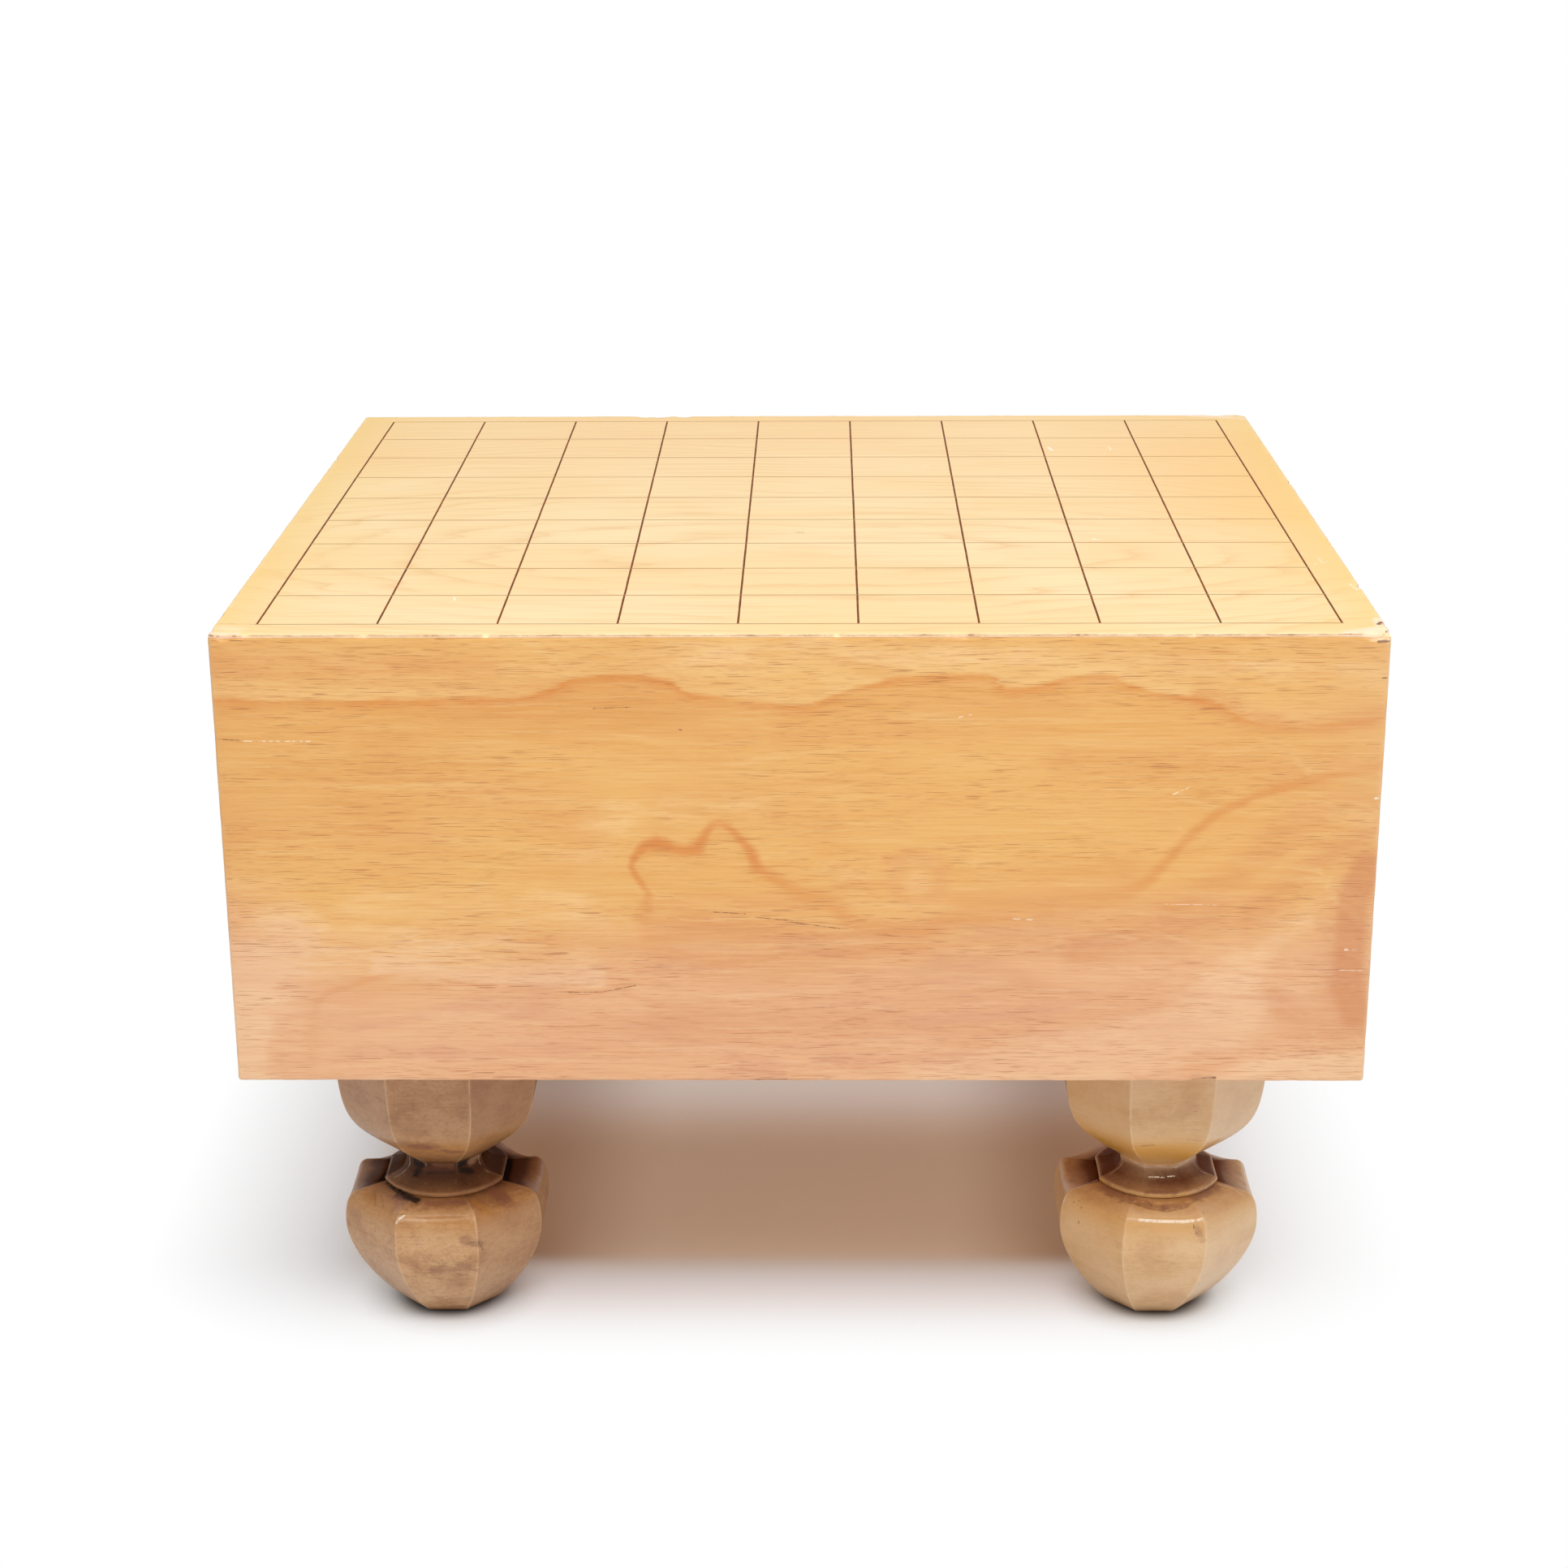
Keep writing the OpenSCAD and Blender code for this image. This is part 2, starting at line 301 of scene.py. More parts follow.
# Soft tints of the front face: kind, how far they reach, strength, and the (x, z) path they follow.
TINTS = [
    ("pale", 22, 0.34, [(-68, 146), (-69, 160), (-67, 172), (-67, 186), (-56, 196)]),
    ("pale", 11, 0.20, [(-54, 196), (-40, 202), (-24, 206), (-8, 196), (4, 184), (20, 176)]),
    ("pale", 15, 0.60, [(-176, 112), (-174, 132), (-160, 150), (-128, 156), (-90, 152), (-70, 150)]),
    ("pale", 20, 1.40, [(-186, 104), (-182, 126), (-178, 146), (-162, 156)]),
    ("pale", 8, 1.00, [(-134, 149), (-110, 145), (-88, 144), (-66, 144)]),
    ("pale", 20, 0.35, [(-140, 166), (-90, 168), (-68, 170)]),
    ("pale", 18, 1.25, [(40, 104), (62, 110), (90, 117), (118, 122), (140, 130)]),
    ("pale", 15, 0.80, [(112, 122), (128, 133), (140, 146)]),
    ("pale", 8, 0.50, [(143, 149), (152, 158), (160, 164)]),
    ("pale", 12, 1.00, [(140, 108), (182, 113)]),
    ("pale", 9, 0.45, [(-50, 251), (40, 252), (110, 250), (176, 245)]),
    ("pale", 10, 0.20, [(56, 182), (80, 186), (100, 190)]),
    ("rosy", 10, 1.00, [(-42, 160), (-30, 162), (-10, 159), (15, 155)]),
    ("rosy", 12, 0.80, [(-40, 152), (-10, 150), (20, 152)]),
    ("rosy", 14, 0.60, [(20, 153), (60, 157), (110, 160), (128, 162)]),
    ("rosy", 12, 0.50, [(-10, 168), (20, 176), (60, 176), (104, 181)]),
    ("rosy", 16, 0.40, [(-40, 128), (0, 132), (50, 134), (70, 140)]),
    ("rosy", 13, 1.00, [(88, 156), (108, 160), (120, 160), (132, 167)]),
    ("rosy", 12, 0.90, [(118, 166), (132, 174), (146, 186), (160, 199), (182, 206)]),
    ("rosy", 11, 1.00, [(142, 166), (154, 176), (168, 187), (183, 196)]),
    ("rosy", 14, 1.50, [(179, 182), (175, 172), (175, 158), (175, 140), (178, 132)]),
    ("rosy", 10, 0.60, [(152, 136), (162, 129), (182, 124)]),
    ("rosy", 26, 0.55, [(-176, 196), (-150, 200), (-120, 192)]),
    ("rosy", 20, 0.50, [(-130, 214), (-90, 208), (-70, 196)]),
    ("rosy", 10, 0.80, [(-182, 249), (-140, 249), (-96, 246)]),
    ("rosy", 12, 0.50, [(-40, 203), (-14, 205), (8, 196)]),
    ("rosy", 20, 0.45, [(-100, 232), (-60, 236), (-20, 226)]),
    ("rosy", 12, 0.40, [(-4, 226), (40, 230), (80, 232)]),
    ("rosy", 14, 0.55, [(84, 218), (120, 216), (160, 213), (184, 214)]),
    ("rosy", 6, 0.90, [(124, 239), (140, 231), (152, 229), (165, 229), (184, 234)]),
    ("rosy", 4, 0.90, [(28, 184), (37, 186), (47, 183)]),
    ("rosy", 3.0, 0.80, [(-47.5, 168.0), (-38, 171.0), (-25, 172.0), (-10, 170.0), (2, 168.0)]),
]
LINE_C = [
    (-184, 60), (30, 80), (75, 98), (98, 108), (111, 122.7), (126, 134), (148.5, 142.7), (162, 150),
    (165, 158), (167, 170), (175, 178), (184, 186),
]
# The height, along x, below which the front turns pink.
PINK_FROM = [
    (-184, 194), (-162, 172), (-120, 161), (-50, 169), (0, 168), (60, 172), (110, 175), (150, 174),
    (184, 186),
]
# Short marks on the front face, as (x, z) of both ends and the width.
FRONT_CRACKS = [
    (-27, 166.6, -17, 166.0, 0.24), (-14, 164.9, -2, 163.6, 0.22), (-3, 163.2, 13, 161.0, 0.24),
    (-74, 139.0, -63, 139.2, 0.22), (-63, 139.2, -52.3, 141.4, 0.26), (-182, 224.4, -174, 223.9, 0.26),
    (-63.5, 234.2, -52, 234.6, 0.22), (-37, 227.4, -36.4, 227.2, 0.35),
]
FRONT_SCUFFS = [
    (-173, 223.7, -152, 223.6, 0.22), (50, 231.2, 53.5, 232.0, 0.35), (117, 206, 122, 208.4, 0.25),
    (173.4, 153.8, 177, 153.9, 0.4), (180, 204.6, 182, 204.8, 0.5), (116, 169.3, 133, 169.0, 0.10),
    (172, 146.8, 181, 146.6, 0.15), (68, 164.3, 74, 164, 0.2),
]
FRONT_SPLITS = [
    (177.9, 255.4, 180.2, 255.6, 0.60), (179.8, 255.4, 181.6, 255.6, 0.45),
    (181.6, 253.0, 181.6, 251.8, 0.25), (181.5, 250.6, 181.5, 249.0, 0.2),
    (-179, 256.5, -171, 256.1, 0.17), (180, 243.8, 182, 243.9, 0.35), (128, 108.6, 134, 109.3, 0.7),
    (-14, 108.4, -4, 108.7, 0.3),
]
RING_DEPTH = 5.3


def block_layers(s):
    """Growth layers of the block: nearly flat against the front, upright arcs on the ends."""
    depth = s.y + HALF_D
    far = s.spread(depth, 2, 2 * HALF_D, smooth=False)
    sx, _, sz = s.sway((95, 80, 60), detail=1)
    rx, _, rz = s.sway((14, 14, 5), detail=3, rough=0.6)
    feather = s.noise((26, 26, 0.8), detail=2, rough=0.6, shift=(6, 1, 3)) - 0.5
    wx = s.x + rx * 6 + feather * 9 + sx * (far * 160)
    wz = s.z + rz * 2.6 + sz * (far * 90)
    a, b, c = (s.curve(wx, line) for line in (LINE_A, LINE_B, LINE_C))
    top_gap = s.spread(wx, -HALF_W, HALF_W, 17, 32, smooth=False)
    gap_ab, gap_bc = a - b, b - c
    in_ab = s.math("DIVIDE", a - wz, gap_ab, clamp=True)
    in_bc = s.math("DIVIDE", b - wz, gap_bc, clamp=True)
    ring = in_ab - s.most(wz - a, 0) / top_gap + in_bc + s.most(c - wz, 0) * (1 / 30)
    bow = (s.z - 190) * (s.z - 190) * (1 / 700)
    ring = ring + (depth + bow * s.spread(depth, 0, 60)) / RING_DEPTH
    drift = s.noise((300, 34, 80), detail=2, shift=(3, 7, 5)) - 0.5
    end = s.spread(abs(s.facing[0]), 0.6, 0.8)
    ring = s.spread(end, 0, 1, ring, (depth + bow * 1.4 + drift * 46) / 4.4, smooth=False)
    share = s.math("FRACT", ring)
    below_a = s.math("GREATER_THAN", a, wz)
    below_b = s.math("GREATER_THAN", b, wz)
    gap = (1 - below_a) * top_gap + below_a * ((1 - below_b) * gap_ab + below_b * gap_bc)
    gap = s.spread(s.facing[1], 0.45, 0.7, RING_DEPTH, s.least(gap, 70))
    inner, outer = share * gap, (1 - share) * gap
    uneven = s.spread(s.noise((20, 20, 12), detail=2), 0.30, 0.66, 0.35, 1.0)
    line = s.most(s.fade(inner, 2.4), s.spread(outer, 1.7, 0.0)) * uneven
    pale = s.fade(outer, 9.0) * s.spread(outer, 0.0, 1.8)
    # on the front face the upper line is the curve, the middle one comes with the mesh
    front = s.spread(s.facing[1], -0.6, -0.8)
    in_a, out_a = a - wz, wz - a
    upper = s.fade(abs(in_a), 2.4) * s.spread(in_a, -1.9, 0.0) * uneven
    drawn, shade = s.mark("figure") + (rz * 1.6 + feather * 2.2), s.mark("shade")
    middle = shade * s.spread(abs(drawn / s.mark("girth") - 0.2), 1.15, 0.1)
    soft = shade * (s.fade(drawn, 6.5) + s.fade(drawn * (-1), 3.0) * 0.5)
    halo_front = s.most(s.fade(in_a, 10.0), soft * 1.2)
    pale_front = s.fade(out_a, 9.0) * s.spread(out_a, 0.0, 1.8)
    return SimpleNamespace(
        wx=wx, wz=wz, feather=feather, ring=ring, end=end, front=front,
        line=s.spread(front, 0, 1, line, s.most(upper, middle), smooth=False),
        halo=s.spread(front, 0, 1, s.fade(inner, 10.0), halo_front, smooth=False),
        pale=s.spread(front, 0, 1, pale, pale_front, smooth=False),
    )


def paint_block(s, layers):
    """Colours of the block: its layers, the pale, rosy and pink zones and the streaks of its fibre."""
    x, z = s.x, s.z
    pink = s.spread(s.curve(layers.wx, PINK_FROM) - layers.wz, -10, 36)
    light = s.mix(pink, (242, 195, 127), (240, 192, 149))
    deep = s.mix(pink, (221, 151, 71), (219, 150, 102))
    s.base = s.mix(layers.halo * 0.32, s.mix(pink, (235, 178, 100), (233, 176, 129)), deep)
    s.paint(layers.pale * 0.75, light)
    patchy = s.noise((30, 30, 2.6), detail=4, rough=0.7, shift=(8, 3, 2))
    blot = s.noise((22, 22, 9), detail=3, rough=0.6, shift=(1, 5, 8))
    pale_zone, rosy_zone = s.mark("pale"), s.mark("rosy")
    pale_here = s.spread(pale_zone + (blot - 0.5) * 0.9, 0.12, 0.62) * s.spread(pale_zone, 0.02, 0.2)
    pale_here = pale_here * s.spread(patchy, 0.34, 0.62, 0.25, 0.9)
    s.paint(pale_here, s.mix(pink, (245, 200, 138), (242, 197, 151)))
    rosy_here = rosy_zone + (blot - 0.5) * (-0.6) * s.spread(rosy_zone, 0.02, 0.2)
    rosy_here = s.math("MULTIPLY", rosy_here, s.spread(patchy, 0.68, 0.40, 0.4, 1.0), clamp=True)
    s.paint(rosy_here, s.mix(pink, (224, 155, 86), (217, 148, 98)))
    # a small closed ring right of the middle of the front
    eye = s.vector("LENGTH", s.join(layers.wx - 37.5, 0, layers.wz - 176.5))
    loop = s.spread(abs(eye - 7.6), 3.2, 0.4) * s.spread(layers.wz, 166, 174, 0.35, 0.8)
    s.paint(loop * layers.front, (229, 166, 100))
    s.paint(s.spread(eye, 6.0, 2.5) * layers.front * 0.45, (241, 188, 130))
    along = s.join(layers.wx, s.y, layers.wz + layers.ring * 14)
    bands = s.noise((70, 3.2, 3.4), detail=3, rough=0.55, at=along)
    s.tint(bands, 0.52, 0.74, 0.50, light)
    s.tint(bands, 0.48, 0.27, 0.30, deep)
    s.tint(s.noise((110, 90, 34), detail=2), 0.54, 0.30, 0.45, deep)
    faint = s.spread(s.noise((300, 5.2, 60), detail=2, shift=(2, 2, 9)), 0.36, 0.64, 0.10, 0.55)
    line = s.math("MULTIPLY", layers.line, s.spread(layers.end, 0, 1, 0.86, faint, smooth=False), clamp=True)
    s.paint(line, s.mix(pink, (220, 136, 58), (219, 145, 86)))
    s.paint(layers.end * 0.30, (216, 158, 98))
    # thin streaks of fibre, each a little lighter or darker than the next
    streaks = s.noise((36, 0.8, 0.8), detail=3, rough=0.65, shift=(2, 6, 1))
    s.tint(streaks, 0.50, 0.68, 0.30, light)
    s.tint(streaks, 0.52, 0.32, 0.32, deep)
    # darker, redder places at the lower right and towards the upright edges
    stain = s.spread(s.noise((50, 50, 9), detail=4, rough=0.6, shift=(3, 1, 7)), 0.48, 0.66) * pink
    s.paint(stain * 0.5, (214, 150, 112))
    washed = s.spread(pale_zone + blot + patchy - 1.0 + layers.feather * 1.1, 0.56, 0.92)
    s.paint(washed * (s.spread(pale_zone, 0.2, 0.6) * 0.50), (239, 191, 147))
    reddest = s.spread(rosy_zone, 0.85, 1.35)
    s.paint(reddest * 0.62, (212, 143, 92))
    rightward = s.spread(x, -60, 60)
    by_end = s.fade(HALF_W - abs(x), 16) * s.most(s.spread(z, 150, 195), rightward) * (1 - reddest)
    s.paint(by_end * 0.30, s.mix(rightward, (218, 152, 84), (231, 186, 134)))


def block_wood():
    """Porous wood, with cracks, scratches and worn arrises."""
    s = Shader("block_wood")
    paint_block(s, block_layers(s))
    # pores: short dark dashes along the grain, which are dots on the end faces
    crowd = s.spread(s.noise((60, 30, 12), detail=2, shift=(9, 2, 4)), 0.34, 0.62)
    crowd = s.most(crowd, s.spread(s.z, 226, 246))
    fine = s.noise((6.5, 0.26, 0.26), detail=2, rough=0.5)
    pores = s.spread(fine, 0.56, 0.70) * (crowd * 0.65 + 0.35)
    long_ones = s.noise((12, 0.34, 0.32), detail=1, rough=0.35, shift=(5, 5, 5))
    pores_long = s.spread(long_ones, 0.64, 0.71) * crowd
    s.paint(pores * 0.42, (190, 112, 56))
    s.paint(pores_long * 0.56, (166, 92, 44))
    cracks, scuffs = s.scratches(on_front, FRONT_CRACKS), s.scratches(on_front, FRONT_SCUFFS)
    broken = s.spread(s.noise((1.6, 1.6, 1.6), detail=2), 0.40, 0.58)
    s.paint(cracks * (broken * 0.6 + 0.35), (150, 96, 58))
    s.paint(scuffs * (broken * 0.75), (255, 240, 222))
    # wear: pale along the arrises, dark where the edge is bruised
    rub = s.noise((5, 5, 9), detail=3, rough=0.6)
    arris = s.most(HALF_W - abs(s.x), HALF_D - abs(s.y))
    edge = s.fade(arris, 0.55) * s.spread(rub, 0.36, 0.62, 0.25, 1.0)
    low_edge = s.fade(s.z - LEG_H, 0.5) * s.spread(s.noise((7, 7, 3), detail=3), 0.45, 0.65)
    s.paint(edge * 0.5, (252, 222, 180))
    s.paint(low_edge * 0.45, (250, 218, 178))
    bare = s.stroke(on_front(176, 256.6), on_front(183, 255.6), 1.5, 0.0)
    s.paint(bare * s.spread(rub, 0.3, 0.6, 0.3, 0.8), (250, 220, 180))
    s.paint(s.scratches(on_front, FRONT_SPLITS) * 0.8, (128, 80, 56))
    # the rough underside and the ceiling of its hollow stay a little darker
    s.tint(s.facing[2], -0.5, -0.9, 0.25, (196, 138, 84))
    fibre = s.noise((22, 0.9, 0.9), detail=3, rough=0.7)
    s.bump(fibre * 0.35 - (pores * 0.5 + pores_long * 0.8) - cracks * 1.5, 0.05, 0.4)
    rough = s.spread(fibre, 0.3, 0.7, 0.36, 0.46) + (edge + scuffs) * 0.2
    return s.finish(rough, coat=0.06, coat_rough=0.25)


# Marks on the playing face, as (x, y) of both ends and the width.
SHEET_TORN = [
    (170, -166, 182, -160, 5.0), (180, -160, 181, -150, 3.0), (-181, -165, -174, -166, 3.5),
    (160, 165, 181, 158, 4.0),
]
SHEET_SCUFFS = [
    (96.5, 103, 97.5, 96, 0.9), (120, 103.5, 120.5, 98.5, 0.6), (100, -46, 103, -47.5, 0.9),
    (105.5, -16, 107, -15, 0.7), (171, -82, 176.5, -78, 0.35), (174, -72, 174.5, -77, 0.3),
    (-165, -81.5, -161, -81.3, 0.35), (-110.8, -122, -110.4, -127, 0.45), (179.0, -108, 180.2, -114, 0.9),
    (46, 69, 49, 68, 0.35),
]
# Broken places of the sheet's front arris, as both ends and the width.
SHEET_HOLES = [
    ((179.7, -155.7, 257.6), (180.9, -153.2, 257.4), 1.2),
    ((180.8, -163.0, 257.4), (181.5, -158.0, 257.2), 0.4),
    ((48.5, -166.2, 257.7), (54, -166.2, 257.6), 0.25),
    ((84, -166.2, 257.7), (86.5, -166.2, 257.6), 0.25),
    ((-181.6, -165.0, 257.5), (-180.2, -166.2, 257.6), 0.35),
    ((-181, -165.8, 257.4), (-171, -166.3, 257.5), 0.18),
]
SHEET_BROKEN = [
    ((47.5, -166.3, 257.6), (55, -166.3, 257.5), 1.5), ((83, -166.3, 257.7), (87, -166.3, 257.6), 1.0),
    ((-182, -166.0, 257.5), (-172, -166.3, 257.5), 1.3),
]


def sheet_wood():
    """Pale sheet without pores: straight lines at the back, a long closed flame at the front."""
    s = Shader("sheet_wood")
    x, y, z = s.x, s.y, s.z
    sx, sy, _ = s.sway((120, 45, 45), detail=2)
    fx = x + sx * 30
    fy = y + s.spread(y, -40, 60) * (x * 0.05) + sy * 26
    flame = s.vector("LENGTH", s.join((fx - 4) * (1 / 112), (fy + 66) * (1 / 47), 0))
    ring = flame * flame * 1.25 + flame * 0.9
    ring = ring + (s.noise((50, 9, 9), detail=2) - 0.5) * 1.1
    share = s.math("FRACT", ring)
    strength = s.spread(s.noise((60, 22, 22), detail=2, shift=(4, 9, 2)), 0.36, 0.62, 0.15, 1.0)
    dark = s.math("POWER", 1 - share, 5.0) * strength
    rise = s.spread(share, 0.86, 1.0) * strength
    fibre = s.noise((45, 1.0, 1.0), detail=3, rough=0.65)
    streak = s.noise((90, 2.6, 2.6), detail=2, shift=(1, 3, 8))
    patch = s.noise((80, 60, 60), detail=2, shift=(7, 7, 1))
    # painted light: towards the back the playing face gets a warmer base colour in place of the light that
    # falls there
    back = s.spread(y, 0, 110)
    calm = s.mix(back, (249, 217, 160), (252, 215, 159))
    s.base = s.mix(s.spread(patch, 0.35, 0.65), calm, s.mix(back, (250, 224, 174), (252, 219, 165)))
    s.paint(dark * 0.60, (233, 184, 122))
    s.paint(rise * 0.30, (237, 192, 132))
    s.tint(streak, 0.54, 0.74, 0.40, (236, 190, 132))
    s.tint(fibre, 0.42, 0.7, 0.26, (236, 192, 134))
    # the sheet is yellower towards its edges and pale along them: partly rubbed, partly a painted highlight
    # on the rounded arris, widest along the front
    to_end, to_side = HALF_W - abs(x), HALF_D - abs(y)
    nearest = s.least(to_end, to_side)
    sunned = s.spread(y, -110, 0) * s.spread(y, 165, 90)
    s.paint(s.spread(x, 60, 182, 0, 0.70) * sunned, (249, 200, 132))
    s.paint(s.fade(to_end, 18) * 0.70, (245, 204, 118))
    s.paint(s.fade(to_side, 9) * 0.40, (247, 207, 126))
    rub = s.noise((11, 11, 4), detail=3, rough=0.6)
    front = s.fade(y + HALF_D, 1.8) * s.spread(rub, 0.3, 0.6, 0.4, 1.0)
    s.paint(front * 0.6, (254, 236, 186))
    edge = s.fade(nearest, 0.9) * s.spread(rub, 0.38, 0.6, 0.2, 1.0)
    s.paint(edge * 0.5, (255, 238, 200))
    flat = s.spread(abs(s.facing[2]), 0.75, 0.4)
    s.paint(flat * 0.9, (249, 212, 172))
    # torn corners of the front, paler where the finish is gone
    s.paint(s.scratches(on_sheet, SHEET_TORN) * s.spread(rub, 0.3, 0.6, 0.35, 0.85), (252, 228, 196))
    # bruises: white scuffs and one dark speck
    scuffs = s.scratches(on_sheet, SHEET_SCUFFS)
    crumbs = s.spread(s.noise((1.3, 1.3, 1.3), detail=2), 0.42, 0.56)
    s.paint(scuffs * (crumbs * 0.85), (255, 250, 238))
    # a torn fibre that runs on from the front line to the edge
    crease = s.scratches(on_sheet, [(-181, -153.6, -169, -154.3, 0.45)])
    s.paint(crease * (crumbs * 0.4 + 0.4), (214, 154, 120))
    rub_and_highlight = s.stroke(on_sheet(-178.5, -158.6), on_sheet(-173.5, -160.2), 4.6, 0.0)
    s.paint(rub_and_highlight * 0.45, (255, 238, 204))
    s.paint(s.scratches(on_sheet, [(-1.4, -36, 0.8, -36.2, 0.8)]) * 0.5, (176, 124, 80))
    # dirt in the broken places of the arris
    torn_line = s.noise((7, 7, 3), detail=4, rough=0.75, shift=(2, 8, 5))
    grime = s.spread(abs(PLAY_Z - z - 0.34), 0.34, 0.10) * s.spread(torn_line, 0.36, 0.58, 0.35, 1.0)
    grime = grime * s.spread(nearest, 0.9, 0.5)
    s.paint(grime * 0.85, (198, 150, 112))
    s.paint(grime * s.spread(torn_line, 0.56, 0.64) * 0.7, (156, 104, 76))
    joint = s.fade(z - BLOCK_TOP, 0.16) * s.spread(torn_line, 0.42, 0.6, 0.2, 0.9)
    s.paint(joint * (flat * 0.7), (214, 160, 112))
    s.paint(s.strokes(SHEET_BROKEN) * s.spread(rub, 0.3, 0.6, 0.3, 0.8), (226, 178, 138))
    s.paint(s.strokes(SHEET_HOLES) * s.spread(crumbs, 0.0, 0.8, 0.7, 1.0), (112, 66, 44))
    s.bump(fibre * 0.5 - dark * 0.3, 0.04, 0.5)
    rough = s.spread(fibre, 0.3, 0.7, 0.40, 0.48) + (edge + scuffs) * 0.2
    return s.finish(rough, specular=0.35)


def lacquer():
    """Brown-black lacquer, laid a little unevenly and worn thin in places."""
    s = Shader("lacquer")
    wear = s.noise((9, 9, 3), detail=3, rough=0.6)
    grain = s.noise((0.7, 0.7, 0.5), detail=2)
    s.base = s.mix(s.spread(wear, 0.40, 0.7), (116, 56, 12), (142, 80, 26))
    s.tint(grain, 0.62, 0.76, 0.5, (176, 124, 66))
    s.bump(grain, 0.03, 0.6)
    return s.finish(s.spread(wear, 0.3, 0.7, 0.42, 0.58), specular=0.10)


def leg_wood(name, tone, age_and_side_light, seed, spots=(), marks_drawn=()):
    """Carved and lacquered leg. tone is (plain, pale, yellow, brown, deep, black); age is how dirty it is,
    and it also sets the painted light and shade on the side faces: right-facing faces lighter on a clean
    leg, darker on a soiled one. The attributes ridge, dirt and pool come with the mesh: ridge holds wear and
    a painted highlight along the ridges, dirt holds soiling and painted shade in the hollows and at the
    foot. spots are (start, end, width, tone name) and have ragged borders, marks_drawn are (tone name,
    strength, width, points) and are crisp."""
    s = Shader(name)
    plain, pale, yellow, brown, deep, black = tone
    shift = (seed * 3.1, seed * 1.7, seed * 2.3)
    ridge, dirt_and_shade, pool = s.mark("ridge"), s.mark("dirt_and_shade"), s.mark("pool")
    cloud = s.noise((13, 13, 11), detail=3, rough=0.55, shift=shift)
    streak = s.noise((10, 10, 0.55), detail=3, rough=0.65, shift=shift)
    grit = s.noise((1.5, 1.5, 1.1), detail=4, rough=0.7, shift=shift)
    mottle = s.noise((4.5, 4.5, 2.6), detail=4, rough=0.7, shift=(shift[1], shift[2], shift[0]))
    speck = s.noise((0.8, 0.8, 0.6), detail=1, shift=shift)
    s.base = s.mix(s.spread(cloud, 0.35, 0.65), plain, s.mix(0.35, plain, pale))
    s.tint(cloud, 0.48, 0.30, 0.15 + 0.30 * age_and_side_light, brown)
    s.tint(streak, 0.54, 0.70, 0.16 + 0.24 * age_and_side_light, brown)
    s.tint(streak, 0.46, 0.30, 0.22, pale)
    s.tint(grit, 0.52, 0.70, 0.10 + 0.42 * age_and_side_light, brown)
    s.tint(grit, 0.47, 0.30, 0.18 + 0.16 * age_and_side_light, pale)
    s.tint(mottle, 0.50, 0.70, 0.10 + 0.34 * age_and_side_light, brown)
    s.paint(s.spread(s.z, 57, 62) * (0.50 * age_and_side_light), brown)
    s.paint(pool * s.spread(cloud, 0.3, 0.6, 0.6, 1.0), yellow)
    # painted light and shade by facing: faces turned to the right are painted lighter on the clean leg and
    # darker on the soiled one, faces turned to the left get a painted shade, yellow on the clean leg and
    # brown on the soiled one
    s.tint(s.facing[0], 0.3, 0.8, 0.45 * (1 - age_and_side_light), pale)
    s.tint(s.facing[0], 0.3, 0.8, 0.45 * age_and_side_light, brown)
    s.tint(s.facing[0], -0.3, -0.8, 0.25, s.mix(age_and_side_light, yellow, brown))
    # painted shade and soiling: brown, deep brown and black where the mark is strongest; in the hollows
    # under the rim, around the neck and at the foot this darkening is painted shade, on the soiled leg it is
    # also real soiling
    s.tint(dirt_and_shade + (mottle - 0.5) * 0.5, 0.16, 0.34, 0.55, brown)
    s.paint(s.spread(dirt_and_shade + (grit - 0.5) * 0.15, 0.30, 0.80), deep)
    s.paint(s.spread(dirt_and_shade + (cloud - 0.5) * 0.6, 1.10, 1.40), black)
    s.tint(speck, 0.70, 0.78, 0.25 + 0.3 * age_and_side_light, brown)
    rub = s.spread(s.noise((4, 4, 6), detail=2, shift=shift), 0.3, 0.6, 0.4, 1.0)
    # pale along the ridges: wear, and a painted highlight where the edges catch the light
    s.paint(ridge * rub * (0.80 - dirt_and_shade * 0.45), pale)
    scar = s.noise((5.0, 5.0, 0.5), detail=2, shift=(shift[0] + 5, shift[1], shift[2]))
    s.tint(scar, 0.71, 0.77, 0.4, deep)
    spot_tones = {"black": (black, 0.9), "pale": (pale, 0.8), "brown": (brown, 0.6), "yellow": (yellow, 0.6),
                  "grime": ((146, 96, 76), 0.62), "wood": ((166, 124, 88), 0.9)}
    for start, end, width, tone_name in spots:
        core = s.stroke(start, end, width, 0.0)
        ragged = (core + (mottle + grit * 0.5 - 0.75) * 1.5) * s.spread(core, 0.0, 0.15)
        tint, strength = spot_tones[tone_name]
        s.paint(s.spread(ragged, 0.25, 1.05) * strength, tint)
    broken = s.spread(s.noise((0.9, 0.9, 0.9), detail=2, shift=shift), 0.36, 0.54, 0.45, 1.0)
